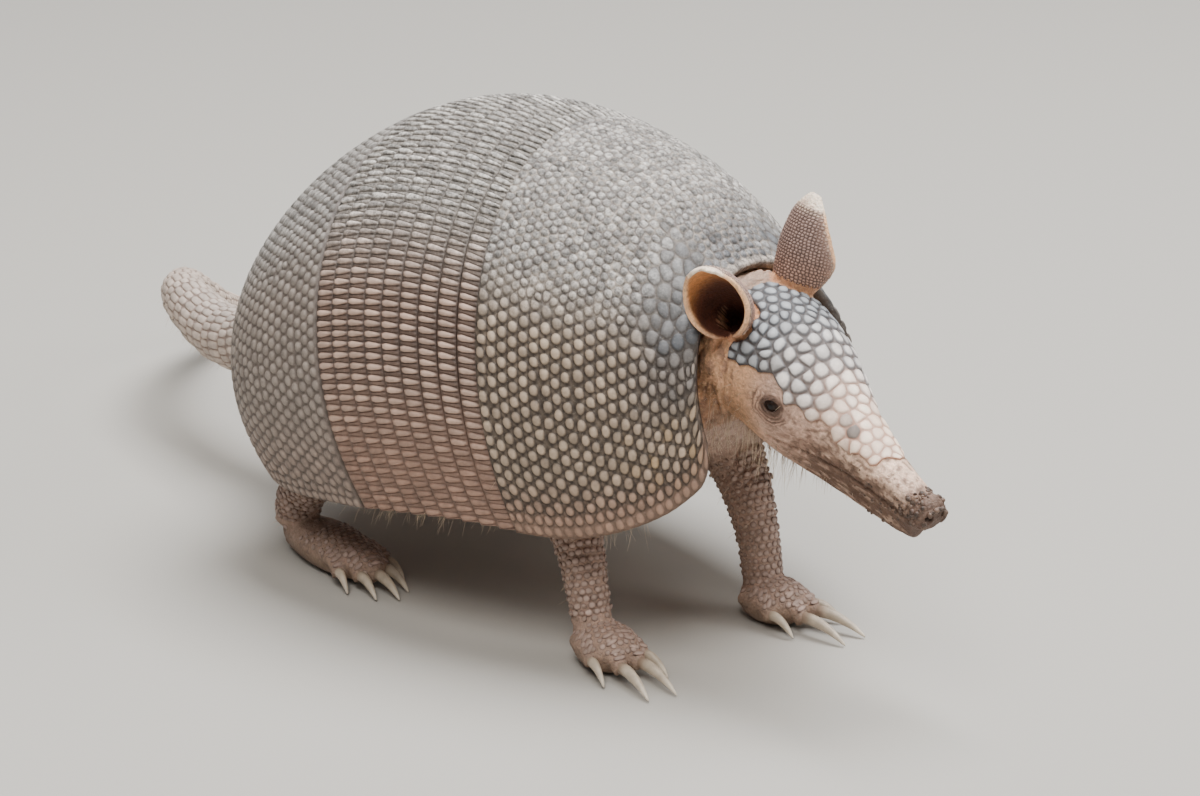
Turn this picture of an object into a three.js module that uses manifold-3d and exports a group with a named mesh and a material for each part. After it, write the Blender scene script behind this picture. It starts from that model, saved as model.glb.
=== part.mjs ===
// A nine-banded armadillo, life size, standing still: millimetres, +X the way it faces, +Y its left, +Z up.
// Every named mesh is one part of the body, a closed solid that keeps a small gap to its neighbours.
import * as THREE from "three";
import { mergeVertices } from "three/addons/utils/BufferGeometryUtils.js";
import Module from "manifold-3d";

const wasm = await Module();
wasm.setup();

// ------------------------------------------------------------ driving dimensions
const GAP = 0.5; // between neighbouring solids
const SMOOTHING = 0.22; // flat spots this close to the true form are made with fewer faces
const SIDES = { right: -1, left: 1 };

// Shell: the line along the top of the back and the line of its lower edge, from the neck to the tail.
const SHELL_THICK = 3.2;
const BACK_LINE = spline(
  [106, 0, 149], [69, 0, 175], [12, 0, 187], [-46, 0, 181], [-95, 0, 153], [-119, 0, 121], [-121, 0, 98]);
const EDGE_LINE = spline(
  [127, 39, 84], [111, 50, 67], [84, 65, 55], [31, 80, 52], [-25, 84, 44], [-68, 79, 40], [-101, 58, 47]);
const EDGE_ANGLE = radians(112); // from the top of the arch round to the lower edge
const BAND_COUNT = 9;
const BANDS_START = 0.336; // share of the shell's length where the shoulder shield ends
const BANDS_END = 0.622; // share where the rump shield starts
const BAND_STEP = 1.2; // how far each band's front edge sinks under the one before it

// Trunk: the flesh under the shell.
const TRUNK_FROM = 0.13;
const TRUNK_TO = 0.97;
const TRUNK_SHELL_ROUND = 0.76; // share of each ring that lies against the shell, the rest is the belly
// How far the belly hangs below the shell's lower edges.
const BELLY_SAG = profile([0, -30], [0.16, -12], [0.36, 5], [0.75, 8], [1, -6]);

// Head: its own frame has +X along the snout, +Z out of the crown and its origin at the nape.
const HEAD_AT = [105, -2, 125];
const HEAD_TURN = new THREE.Euler(radians(11), radians(24), radians(-5), "ZYX"); // roll, pitch, yaw
const HEAD_FROM = -14;
const HEAD_TO = 103;
const HEAD_HALF_WIDTH = profile(
  [-14, 15], [0, 20.5], [15, 23.5], [30, 23], [42, 20.5], [58, 14], [76, 9.6], [92, 7.2], [103, 6]);
const HEAD_TOP = profile(
  [-14, 15], [0, 22], [15, 24.5], [30, 22.5], [42, 18], [58, 12], [76, 8], [92, 6], [103, 5]);
const HEAD_BOTTOM = profile(
  [-14, 15], [0, 23], [15, 27], [30, 27], [42, 25], [58, 21.5], [76, 18], [92, 15], [103, 11]);
const MOUTH_FROM = 36; // the corner of the mouth
const MOUTH_HEIGHT = profile([36, -10.5], [60, -7], [85, -4.6], [112, -4]);
const CASQUE_FROM = 1;
const CASQUE_TO = 84;
const CASQUE_THICK = 1.8;
// How far the plates reach round the head, in degrees each side.
const CASQUE_SPREAD = profile([1, 62], [14, 72], [30, 70], [48, 66], [66, 62], [84, 26]);
const NOSE_HALF_SIZE = [6, 6.4, 5.4];
const NOSE_AT = [105, 0, 0.8];
const EYE_RADIUS = 3.4;
const EYE_AT = [38.5, 17.6, 4.2];
const EAR_AT = [2.5, 11.5, 18.5];
const EAR_LENGTH = 36;
const EAR_LEAN = { right: [0, -0.55, 0.84], left: [-0.28, 0.5, 0.84] }; // from base to tip
const EAR_FACES = { right: [0.7, -0.6, -0.3], left: [0, 1, 0.1] }; // the way each ear opens
const EAR_HALF_WIDTH = profile([0, 5.5], [0.2, 8.2], [0.5, 10.8], [0.75, 9.2], [0.92, 5.2], [1, 2.4]);
const EAR_WRAP = profile([0, 150], [0.25, 118], [0.5, 88], [0.75, 66], [1, 52]); // degrees each side
const EAR_WALL = 1.8;
const NECK_LINE = spline([78, 0, 112], [98, 0, 118], [118, -3, 121]);
const NECK_HALF_WIDTH = 28;
const NECK_HALF_HEIGHT = 29;

// Legs and feet: each leg runs down from the trunk to its ankle, each foot points a little outward.
const FORELEG = {
  right: [[40, -36, 78], [54, -41, 54], [66, -46, 34], [73, -48, 16]],
  left: [[54, 30, 80], [72, 31, 54], [83, 29, 33], [88, 28, 16]],
};
const FOREPAW = {
  right: { at: [82, -50, 8], turn: radians(-12) },
  left: { at: [95, 27, 8], turn: radians(6) },
};
const HINDLEG = {
  right: [[-40, -48, 64], [-62, -53, 46], [-82, -54, 28], [-88, -54, 13]],
  left: [[-56, 44, 66], [-76, 48, 46], [-95, 50, 28], [-100, 50, 13]],
};
const HINDFOOT = {
  right: { at: [-64, -55, 8], turn: radians(-9) },
  left: { at: [-76, 51, 8], turn: radians(9) },
};
// The legs' half thickness from the top down, and the half size of each foot's pad.
const FORELEG_THICK = profile([0, 15], [0.45, 10.6], [0.75, 8.4], [1, 7.8]);
const HINDLEG_THICK = profile([0, 19], [0.4, 14], [0.75, 10], [1, 8.4]);
const FOREPAW_HALF_SIZE = [15, 12, 9.5];
const HINDFOOT_HALF_SIZE = [33, 12, 9.5];
// Toes: how far each root stands to the side and forward of the foot's centre, its size and its claw.
const FORE_TOES = [
  { side: 8.5, ahead: 3, reach: 8, radius: 3.4, claw: 12 },
  { side: 3.4, ahead: 6, reach: 11, radius: 4, claw: 21 },
  { side: -3.6, ahead: 6, reach: 11, radius: 4, claw: 20 },
  { side: -9, ahead: -2, reach: 8, radius: 3.4, claw: 12 },
];
const HIND_TOES = [
  { side: 9.5, ahead: 14, reach: 8, radius: 3.3, claw: 9 },
  { side: 5, ahead: 19, reach: 10, radius: 3.7, claw: 13 },
  { side: 0, ahead: 21, reach: 11, radius: 4, claw: 15 },
  { side: -5, ahead: 19, reach: 10, radius: 3.7, claw: 13 },
  { side: -9.5, ahead: 13, reach: 8, radius: 3.3, claw: 9 },
];

// Tail: it droops from under the rump shield, bends to the left and ends along the floor.
const TAIL_LINE = spline(
  [-106, 0, 88], [-128, 0, 74], [-160, -3, 58], [-196, 2, 51], [-238, 16, 53],
  [-274, 44, 45], [-297, 82, 24], [-304, 118, 8], [-302, 150, 3.4], [-297, 176, 2.2]);
const TAIL_RADIUS = profile([0, 15.5], [0.2, 13.5], [0.45, 9.5], [0.7, 6], [0.9, 3], [1, 1.6]);
const TAIL_RINGS = 15; // rings of scales on the thick part, the tip past them is plain
const TAIL_LENGTHS = [0, 4, 8, 12, 15]; // the rings where one length of the tail ends and the next begins
const TAIL_RINGS_TO = 0.68; // share of the tail that carries rings
const RING_STEP = 0.9; // how far each ring's rear edge stands over the next ring

// ------------------------------------------------------------ helpers
function radians(degrees) {
  return (degrees * Math.PI) / 180;
}

function mix(a, b, t) {
  return a + (b - a) * t;
}

function vec(x, y, z) {
  return new THREE.Vector3(x, y, z);
}

function spline(...points) {
  return new THREE.CatmullRomCurve3(points.map((p) => vec(...p)), false, "centripetal");
}

// Reads a row of [place, value] pairs as a smooth function of the place.
function profile(...pairs) {
  const curve = spline(...pairs.map(([at, value]) => [at, value, 0]));
  const table = curve.getPoints(pairs.length * 12);
  return (at) => {
    const after = table.findIndex((p) => p.x >= at);
    if (after < 0) return table[table.length - 1].y;
    if (after === 0) return table[0].y;
    const [a, b] = [table[after - 1], table[after]];
    return mix(a.y, b.y, (at - a.x) / Math.max(b.x - a.x, 1e-9));
  };
}

// A closed three.js geometry as a solid, once every vertex has moved to place(x, y, z).
function formed(geometry, place) {
  const spots = geometry.getAttribute("position");
  for (let i = 0; i < spots.count; i++) {
    const to = place(spots.getX(i), spots.getY(i), spots.getZ(i));
    spots.setXYZ(i, to.x, to.y, to.z);
  }
  geometry.deleteAttribute("normal");
  geometry.deleteAttribute("uv");
  const merged = mergeVertices(geometry, 1e-3);
  const vertProperties = merged.getAttribute("position").array;
  const triVerts = new Uint32Array(merged.index.array);
  const made = new wasm.Manifold(new wasm.Mesh({ numProp: 3, vertProperties, triVerts }));
  if (made.volume() > 0) return made;
  return new wasm.Manifold(new wasm.Mesh({ numProp: 3, vertProperties, triVerts: triVerts.reverse() }));
}

// A closed tube: ring(share, angle, reach) gives its points, reach 1 on the side and 0 at a cap's centre.
function tube(steps, around, ring) {
  return formed(new THREE.CylinderGeometry(1, 1, 1, around, steps), (x, y, z) =>
    ring(0.5 - y, Math.atan2(x, z), Math.hypot(x, z)));
}

// A tube along a curve, its rings square to the curve, their size given by halfWidth and halfHeight(share).
function limb(curve, steps, around, halfWidth, halfHeight = halfWidth) {
  return tube(steps, around, (share, angle, reach) => {
    const along = curve.getTangentAt(share);
    const aside = vec(-along.y, along.x, 0);
    if (aside.length() < 0.05) aside.set(0, 1, 0);
    aside.normalize();
    const over = along.clone().cross(aside).normalize();
    return curve.getPointAt(share)
      .addScaledVector(aside, reach * halfWidth(share) * Math.sin(angle))
      .addScaledVector(over, reach * halfHeight(share) * Math.cos(angle));
  });
}

function ball(spot, halfSize, around, steps) {
  return formed(new THREE.SphereGeometry(1, around, steps), (x, y, z) =>
    spot(x * halfSize[0], y * halfSize[1], z * halfSize[2]));
}

const finishes = {
  shell: new THREE.MeshStandardMaterial({ color: 0x857c73, roughness: 0.75, metalness: 0 }),
  band: new THREE.MeshStandardMaterial({ color: 0xa08678, roughness: 0.7, metalness: 0 }),
  casque: new THREE.MeshStandardMaterial({ color: 0xa9a49e, roughness: 0.6, metalness: 0 }),
  skin: new THREE.MeshStandardMaterial({ color: 0xb98f72, roughness: 0.8, metalness: 0 }),
  ear: new THREE.MeshStandardMaterial({ color: 0x9a6a55, roughness: 0.7, metalness: 0 }),
  nose: new THREE.MeshStandardMaterial({ color: 0x6b5148, roughness: 0.8, metalness: 0 }),
  eye: new THREE.MeshStandardMaterial({ color: 0x0c0a0a, roughness: 0.1, metalness: 0 }),
  tail: new THREE.MeshStandardMaterial({ color: 0xb5a49c, roughness: 0.75, metalness: 0 }),
  claw: new THREE.MeshStandardMaterial({ color: 0xcdb9a0, roughness: 0.5, metalness: 0 }),
};
const model = new THREE.Group();
const shell = new THREE.Group();
const headGroup = new THREE.Group();
const tail = new THREE.Group();
model.add(shell, headGroup, tail);

// Adds the biggest body of a solid to a group, which is what its cuts have left of it.
function addPart(group, name, manifold, finish) {
  const bodies = manifold.simplify(SMOOTHING).decompose();
  const biggest = bodies.sort((a, b) => b.volume() - a.volume())[0];
  const { numProp, vertProperties, triVerts } = biggest.getMesh();
  const geometry = new THREE.BufferGeometry();
  const spots = new Float32Array((vertProperties.length / numProp) * 3);
  for (let i = 0; i < spots.length / 3; i++)
    spots.set(vertProperties.subarray(i * numProp, i * numProp + 3), i * 3);
  geometry.setAttribute("position", new THREE.BufferAttribute(spots, 3));
  geometry.setIndex(new THREE.BufferAttribute(triVerts, 1));
  geometry.computeVertexNormals();
  const mesh = new THREE.Mesh(geometry, finishes[finish]);
  mesh.name = name;
  group.add(mesh);
}

// ------------------------------------------------------------ the shell
// A point of the shell: u runs from the neck (0) to the tail (1), v from the right edge (-1) to the left.
function shellOuter(u, v) {
  const top = BACK_LINE.getPointAt(u);
  const edge = EDGE_LINE.getPointAt(u);
  const angle = v * EDGE_ANGLE;
  const down = (1 - Math.cos(angle)) / (1 - Math.cos(EDGE_ANGLE));
  const halfWidth = edge.y / Math.sin(EDGE_ANGLE);
  return vec(mix(top.x, edge.x, down), halfWidth * Math.sin(angle), mix(top.z, edge.z, down));
}

function shellPoint(u, v, depth) {
  const step = 0.004;
  const [u0, u1] = [Math.max(0, u - step), Math.min(1, u + step)];
  const along = shellOuter(u1, v).sub(shellOuter(u0, v));
  const round = shellOuter(u, v + step).sub(shellOuter(u, v - step));
  const outward = round.cross(along).normalize();
  return shellOuter(u, v).addScaledVector(outward, -depth);
}

// A strip of the shell between two shares of its length, its outer face sunk by sink(share of the strip).
const flush = () => 0;
const unmoved = vec(0, 0, 0);
function shellStrip(from, to, alongSteps, roundSteps, sink = flush, thick = SHELL_THICK, shift = unmoved) {
  return formed(new THREE.BoxGeometry(1, 1, 1, alongSteps, roundSteps, 1), (x, y, z) => {
    const share = x + 0.5;
    return shellPoint(mix(from, to, share), 2 * y, z > 0 ? sink(share) : thick).add(shift);
  });
}

const gapShare = GAP / BACK_LINE.getLength();
const bandShare = (BANDS_END - BANDS_START) / BAND_COUNT;
const shoulderTo = BANDS_START - gapShare;
addPart(shell, "shoulder_shield", shellStrip(0, shoulderTo, 6, 24), "shell");
for (let i = 0; i < BAND_COUNT; i++) {
  const from = BANDS_START + i * bandShare;
  const strip = shellStrip(from, from + bandShare - gapShare, 1, 16, (share) => BAND_STEP * (1 - share));
  addPart(shell, `band_${i + 1}`, strip, "band");
}
addPart(shell, "rump_shield", shellStrip(BANDS_END, 1, 7, 24), "shell");

// What a part that reaches under the end of a shield is cut with.
function shieldCut(from, to, alongSteps, outOfEnd) {
  const grown = (out, up) =>
    shellStrip(from, to, alongSteps, 24, () => -GAP * 2, SHELL_THICK + GAP * 2, vec(out, 0, up));
  return grown(0, 0).add(grown(outOfEnd, 0)).add(grown(outOfEnd, -GAP * 2));
}

// ------------------------------------------------------------ the trunk
function trunkForm(grow) {
  const roundTo = TRUNK_SHELL_ROUND * Math.PI;
  const depth = SHELL_THICK + GAP * 3 - grow;
  return tube(7, 22, (share, angle, reach) => {
    const u = mix(TRUNK_FROM - grow * 0.004, TRUNK_TO + grow * 0.004, share);
    const [right, left] = [shellPoint(u, -1, depth), shellPoint(u, 1, depth)];
    const middle = shellPoint(u, 0, depth).lerp(right.clone().lerp(left, 0.5), 0.55);
    let spot;
    if (Math.abs(angle) <= roundTo) spot = shellPoint(u, angle / roundTo, depth);
    else {
      const across = (Math.PI - Math.abs(angle)) / (Math.PI - roundTo); // 1 at the edge, 0 under the spine
      const edge = angle > 0 ? left : right;
      const sag = BELLY_SAG(share) + grow;
      spot = vec(edge.x, edge.y * across, edge.z - sag * Math.sqrt(1 - across * across));
    }
    return reach > 0.5 ? spot : middle;
  });
}

function neckForm(grow) {
  return limb(NECK_LINE, 3, 16, () => NECK_HALF_WIDTH + grow, () => NECK_HALF_HEIGHT + grow);
}

addPart(model, "trunk", trunkForm(0).subtract(neckForm(GAP * 1.4)), "skin");
const trunkCut = trunkForm(GAP);

// ------------------------------------------------------------ the head
function headSpot(x, y, z) {
  return vec(x, y, z).applyEuler(HEAD_TURN).add(vec(...HEAD_AT));
}

// A point of the head's surface: angle 0 is the crown, positive to the left, grow stands off the surface.
function headSurface(x, angle, grow) {
  const height = Math.cos(angle) > 0 ? HEAD_TOP(x) : HEAD_BOTTOM(x);
  return headSpot(x, (HEAD_HALF_WIDTH(x) + grow) * Math.sin(angle), (height + grow) * Math.cos(angle));
}

function headForm(grow) {
  return tube(9, 16, (share, angle, reach) => {
    const x = mix(HEAD_FROM - grow, HEAD_TO + grow, share);
    return reach > 0.5 ? headSurface(x, angle, grow) : headSpot(x, 0, 0);
  });
}

function casqueForm(grow) {
  return formed(new THREE.BoxGeometry(1, 1, 1, 7, 10, 1), (x, y, z) => {
    const at = mix(CASQUE_FROM - grow, CASQUE_TO + grow, x + 0.5);
    const rim = Math.min(1, 4 * (0.5 - Math.abs(x)), 5 * (0.5 - Math.abs(y)));
    const angle = 2 * y * radians(CASQUE_SPREAD(at) + grow * 3);
    const outside = GAP + mix(0.7, CASQUE_THICK, Math.sqrt(Math.max(0, rim))) + grow;
    return headSurface(at, angle, z > 0 ? outside : GAP - grow);
  });
}

// All the space under the line of the mouth, from its corner forward.
function belowMouth(grow) {
  return formed(new THREE.BoxGeometry(1, 1, 1, 4, 1, 1), (x, y, z) => {
    const at = mix(MOUTH_FROM - grow, HEAD_TO + 15, x + 0.5);
    return headSpot(at, 60 * y, z > 0 ? MOUTH_HEIGHT(at) + grow : -60);
  });
}

// An ear: a leaf that wraps round its opening, rolled tightest at its base.
function earForm(name, side, grow) {
  const lean = vec(...EAR_LEAN[name]).normalize();
  const faces = vec(...EAR_FACES[name]);
  faces.addScaledVector(lean, -faces.dot(lean)).normalize();
  const aside = lean.clone().cross(faces);
  return formed(new THREE.BoxGeometry(1, 1, 1, 6, 5, 1), (x, y, z) => {
    const share = y + 0.5;
    const wrap = radians(EAR_WRAP(share));
    const radius = EAR_HALF_WIDTH(share) / Math.sin(Math.min(wrap, Math.PI / 2));
    const wall = mix(EAR_WALL, EAR_WALL * 0.6, share) + 2 * grow;
    const reach = radius + (z > 0 ? -wall / 2 : wall / 2);
    const angle = 2 * x * wrap;
    const spot = vec(EAR_AT[0], side * EAR_AT[1], EAR_AT[2])
      .addScaledVector(lean, EAR_LENGTH * share)
      .addScaledVector(aside, reach * Math.sin(angle))
      .addScaledVector(faces, radius * 0.5 - reach * Math.cos(angle));
    return headSpot(spot.x, spot.y, spot.z);
  });
}

const eyeSpot = (side) => (x, y, z) => headSpot(EYE_AT[0] + x, side * EYE_AT[1] + y, EYE_AT[2] + z);
const eyeSize = (grow) => Array(3).fill(EYE_RADIUS + grow);
const noseSpot = (x, y, z) => headSpot(NOSE_AT[0] + x, NOSE_AT[1] + y, NOSE_AT[2] + z);
const noseForm = (grow) => ball(noseSpot, NOSE_HALF_SIZE.map((half) => half + grow), 10, 7);

const shoulderCut = shieldCut(0, shoulderTo, 6, GAP * 2);
const rumpCut = shieldCut(BANDS_END, 1, 7, -GAP * 2);
const trunkBehindHead = trunkCut.subtract(neckForm(0));
let head = headForm(0).subtract(noseForm(GAP)).subtract(belowMouth(GAP)).subtract(trunkBehindHead);
const jaw = headForm(0).intersect(belowMouth(0)).subtract(noseForm(GAP));
let casque = casqueForm(0);
for (const [name, side] of Object.entries(SIDES)) {
  head = head.subtract(ball(eyeSpot(side), eyeSize(GAP), 10, 6));
  casque = casque.subtract(ball(eyeSpot(side), eyeSize(GAP), 10, 6));
  addPart(headGroup, `eye_${name}`, ball(eyeSpot(side), eyeSize(0), 10, 6), "eye");
  const earCuts = [headForm(GAP), casqueForm(GAP), neckForm(GAP * 1.6), shoulderCut];
  const ear = earCuts.reduce((made, cut) => made.subtract(cut), earForm(name, side, 0));
  addPart(headGroup, `ear_${name}`, ear, "ear");
}
addPart(headGroup, "head", head, "skin");
addPart(headGroup, "casque", casque, "casque");
addPart(headGroup, "jaw", jaw, "skin");
addPart(headGroup, "nose", noseForm(0), "nose");

const neckCuts = [headForm(GAP), casqueForm(GAP), shoulderCut];
addPart(model, "neck", neckCuts.reduce((made, cut) => made.subtract(cut), neckForm(0)), "skin");

// ------------------------------------------------------------ legs, feet and claws
const floorCut = formed(new THREE.BoxGeometry(1200, 1200, 200), (x, y, z) => vec(x, y, z - 100));

function footSpot(foot, ahead, side, up) {
  const [x, y, z] = foot.at;
  const [c, s] = [Math.cos(foot.turn), Math.sin(foot.turn)];
  return vec(x + ahead * c - side * s, y + ahead * s + side * c, z + up);
}

function toeForm(foot, toe, grow) {
  const points = [[-8, 1], [0, 1.5], [toe.reach * 0.7, -0.5], [toe.reach, -3.4]];
  const line = new THREE.CatmullRomCurve3(points.map(([ahead, up]) =>
    footSpot(foot, toe.ahead + ahead, toe.side * (1 + ahead * 0.02), up)));
  return limb(line, 2, 6, (share) => toe.radius * mix(1, 0.86, share) + grow);
}

function clawForm(foot, toe) {
  const points = [[-1.5, -2], [toe.claw * 0.4, -2.2], [toe.claw * 0.75, -4.4], [toe.claw, -7]];
  const line = new THREE.CatmullRomCurve3(points.map(([ahead, up]) =>
    footSpot(foot, toe.ahead + toe.reach + ahead, toe.side * (1 + (toe.reach + ahead) * 0.02), up)));
  const taper = (share) => toe.radius * mix(0.72, 0.16, share);
  return limb(line, 2, 5, taper);
}

function addLeg([legName, footName], legLine, thick, foot, pad, toes) {
  const limbGroup = new THREE.Group();
  model.add(limbGroup);
  const curve = spline(...legLine);
  const leg = (grow) => limb(curve, 5, 10, (share) => thick(share) + grow);
  const padSpot = (x, y, z) => footSpot(foot, x, y, z);
  const padForm = (grow) => ball(padSpot, pad.map((half) => half + grow), 10, 6);
  const toeForms = toes.map((toe) => toeForm(foot, toe, 0));
  const pawWhole = toeForms.reduce((made, toe) => made.add(toe), padForm(0));
  const paw = pawWhole.subtract(leg(GAP)).subtract(floorCut);
  const legCuts = [trunkCut, shoulderCut, rumpCut, floorCut];
  addPart(limbGroup, legName, legCuts.reduce((made, cut) => made.subtract(cut), leg(0)), "skin");
  addPart(limbGroup, footName, paw, "skin");
  const nearest = toes.reduce((made, toe) => made.add(toeForm(foot, toe, GAP)), padForm(GAP));
  toes.forEach((toe, i) => {
    const claw = clawForm(foot, toe).subtract(nearest).subtract(floorCut);
    addPart(limbGroup, `${footName}_claw_${i + 1}`, claw, "claw");
  });
}

for (const side of Object.keys(SIDES)) {
  const foreNames = [`foreleg_${side}`, `forepaw_${side}`];
  const hindNames = [`hindleg_${side}`, `hindfoot_${side}`];
  addLeg(foreNames, FORELEG[side], FORELEG_THICK, FOREPAW[side], FOREPAW_HALF_SIZE, FORE_TOES);
  addLeg(hindNames, HINDLEG[side], HINDLEG_THICK, HINDFOOT[side], HINDFOOT_HALF_SIZE, HIND_TOES);
}

// ------------------------------------------------------------ the tail
// A length of the tail between two shares of it, with a raised rear edge on each of its rings.
function tailLength(from, to, rings) {
  const steps = rings > 0 ? rings * 2 : 10;
  return limbBetween(from, to, steps, (share) => {
    const ring = (share * rings) % 1;
    const raised = rings > 0 ? RING_STEP * (ring < 0.02 || ring > 0.98 ? 0 : ring) : 0;
    return TAIL_RADIUS(mix(from, to, share)) + raised;
  });
}

function limbBetween(from, to, steps, radius) {
  return tube(steps, 9, (share, angle, reach) => {
    const at = mix(from, to, share);
    const along = TAIL_LINE.getTangentAt(at);
    const aside = vec(-along.y, along.x, 0).normalize();
    const over = along.clone().cross(aside).normalize();
    return TAIL_LINE.getPointAt(at)
      .addScaledVector(aside, reach * radius(share) * Math.sin(angle))
      .addScaledVector(over, reach * radius(share) * Math.cos(angle));
  });
}

const tailGap = GAP / TAIL_LINE.getLength();
const tailMarks = TAIL_LENGTHS.map((ring) => (TAIL_RINGS_TO * ring) / TAIL_RINGS);
const underShell = [trunkCut, rumpCut];
TAIL_LENGTHS.slice(1).forEach((ring, i) => {
  let piece = tailLength(tailMarks[i], tailMarks[i + 1] - tailGap, ring - TAIL_LENGTHS[i]);
  if (i === 0) piece = underShell.reduce((made, cut) => made.subtract(cut), piece);
  addPart(tail, `tail_${i + 1}`, piece, "tail");
});
addPart(tail, "tail_tip", tailLength(TAIL_RINGS_TO, 1, 0).subtract(floorCut), "tail");

// ------------------------------------------------------------ the origin: under the middle, on the floor
const box = new THREE.Box3().setFromObject(model);
const middle = box.getCenter(vec(0, 0, 0));
model.position.set(-middle.x, -middle.y, -box.min.z);

export default model;
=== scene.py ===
import math

import bpy
import numpy as np
from mathutils import Matrix, Vector, geometry, noise


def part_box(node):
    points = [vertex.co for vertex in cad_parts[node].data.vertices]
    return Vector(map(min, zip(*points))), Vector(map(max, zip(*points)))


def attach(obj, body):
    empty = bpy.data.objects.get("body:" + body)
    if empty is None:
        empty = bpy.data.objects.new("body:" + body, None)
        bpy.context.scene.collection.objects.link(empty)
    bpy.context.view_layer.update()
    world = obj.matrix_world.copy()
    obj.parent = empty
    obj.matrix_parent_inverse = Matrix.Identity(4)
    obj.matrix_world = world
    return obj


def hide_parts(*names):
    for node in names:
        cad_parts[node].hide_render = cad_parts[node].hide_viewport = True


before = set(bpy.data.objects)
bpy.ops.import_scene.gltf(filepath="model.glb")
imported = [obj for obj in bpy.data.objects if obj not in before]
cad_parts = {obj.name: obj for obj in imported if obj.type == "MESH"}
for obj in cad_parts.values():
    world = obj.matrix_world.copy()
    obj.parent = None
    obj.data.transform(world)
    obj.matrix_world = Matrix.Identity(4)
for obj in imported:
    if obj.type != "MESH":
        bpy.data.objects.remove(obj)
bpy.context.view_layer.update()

# -------- the camera
# A long lens at the animal's right front, a little above its back, that looks slightly down at it.
# It aims below the shoulder and keeps room for the snout on the right.
VIEW_AZIMUTH = math.radians(46)
VIEW_ELEVATION = math.radians(18.2)
VIEW_DISTANCE = 1.5
LENS_MM = 117.9
AIM_RIGHT = 0.0199
AIM_DOWN = 0.0267
SHOULDER_HEIGHT = 0.1
NECK_AHEAD = 0.127

shoulder_low, shoulder_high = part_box("shoulder_shield")
# The body's own origin: every place below is measured from here, forward, to its left and up.
home = Vector((shoulder_high.x - NECK_AHEAD, (shoulder_low.y + shoulder_high.y) / 2, 0))
shoulder = home + Vector((0, 0, SHOULDER_HEIGHT))
back = Vector((
    math.sin(VIEW_AZIMUTH) * math.cos(VIEW_ELEVATION),
    -math.cos(VIEW_AZIMUTH) * math.cos(VIEW_ELEVATION),
    math.sin(VIEW_ELEVATION),
))
view_right = Vector((math.cos(VIEW_AZIMUTH), math.sin(VIEW_AZIMUTH), 0))
view_up = back.cross(view_right)
aim = shoulder + view_right * AIM_RIGHT - view_up * AIM_DOWN

lens = bpy.data.cameras.new("camera")
lens.lens = LENS_MM
camera = bpy.data.objects.new("camera", lens)
bpy.context.scene.collection.objects.link(camera)
camera.location = shoulder + back * VIEW_DISTANCE
camera.rotation_euler = (aim - camera.location).to_track_quat("-Z", "Y").to_euler()
bpy.context.scene.camera = camera

# -------- the floor and the light
# A plain pale studio floor under soft, even light, as under a bright overcast sky: a large lamp high in
# front, a broad one overhead, a weaker one on the far side, and a pale surround that fills the shadows.
FLOOR_COLOUR = (0.42, 0.40, 0.365, 1)
FLOOR_SIDE = 12
# Lamps: (name, place from the body's origin, size, watts, colour).
LAMPS = (
    ("key_lamp", (0.8, -1.2, 2.0), 1.1, 47, (1, 0.97, 0.93)),
    ("sky_lamp", (0.1, 0.5, 2.3), 1.5, 122, (0.98, 0.985, 1)),
    ("far_lamp", (1.7, 1.2, 1.3), 1.2, 20, (1, 0.98, 0.95)))
SURROUND_COLOUR = (0.86, 0.87, 0.88, 1)
SURROUND_STRENGTH = 0.2

bpy.ops.mesh.primitive_plane_add(size=FLOOR_SIDE, location=(0, 0, 0))
floor = bpy.context.object
floor.name = "floor"
floor_paint = bpy.data.materials.new("floor_paint")
floor_paint.use_nodes = True
floor_shader = floor_paint.node_tree.nodes["Principled BSDF"]
floor_shader.inputs["Base Color"].default_value = FLOOR_COLOUR
floor_shader.inputs["Roughness"].default_value = 0.9
floor.data.materials.append(floor_paint)

for name, place, size, watts, colour in LAMPS:
    lamp = bpy.data.lights.new(name, "AREA")
    lamp.size = size
    lamp.energy = watts
    lamp.color = colour
    held = bpy.data.objects.new(name, lamp)
    held.location = home + Vector(place)
    held.rotation_euler = (shoulder - held.location).to_track_quat("-Z", "Y").to_euler()
    bpy.context.scene.collection.objects.link(held)
surround = bpy.data.worlds.new("surround")
surround.use_nodes = True
surround.node_tree.nodes["Background"].inputs["Color"].default_value = SURROUND_COLOUR
surround.node_tree.nodes["Background"].inputs["Strength"].default_value = SURROUND_STRENGTH
bpy.context.scene.world = surround

# -------- the shoulder shield
# The front shield of the shell: a bony dome whose horn is parted into some fifteen hundred round
# scutes with dark grooves between them, in rows that follow the bands, and small rows at its rims.
# The shell's whole form is given here: a line along the back, the lines of its edges and an arch.
EDGE_ANGLE = math.radians(112)
SHOULDER_TO = 0.3345
SHELL_THICK = 0.0032
# Scutes: (pitch, from, to, looseness), each zone from the back line (0) toward the edge (1).
SHOULDER_ZONES = ((0.0037, 0, 0.52, 0.24), (0.0050, 0.52, 1, 0.15))
NECK_PLATES = ((0.0064, 0.16, 0.62, 0.36),)
NECK_PLATES_TO = 0.105
SHOULDER_RIM = 0.0043
FRONT_CORNER = 0.011
SCUTE_HEIGHT = 0.00105


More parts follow.
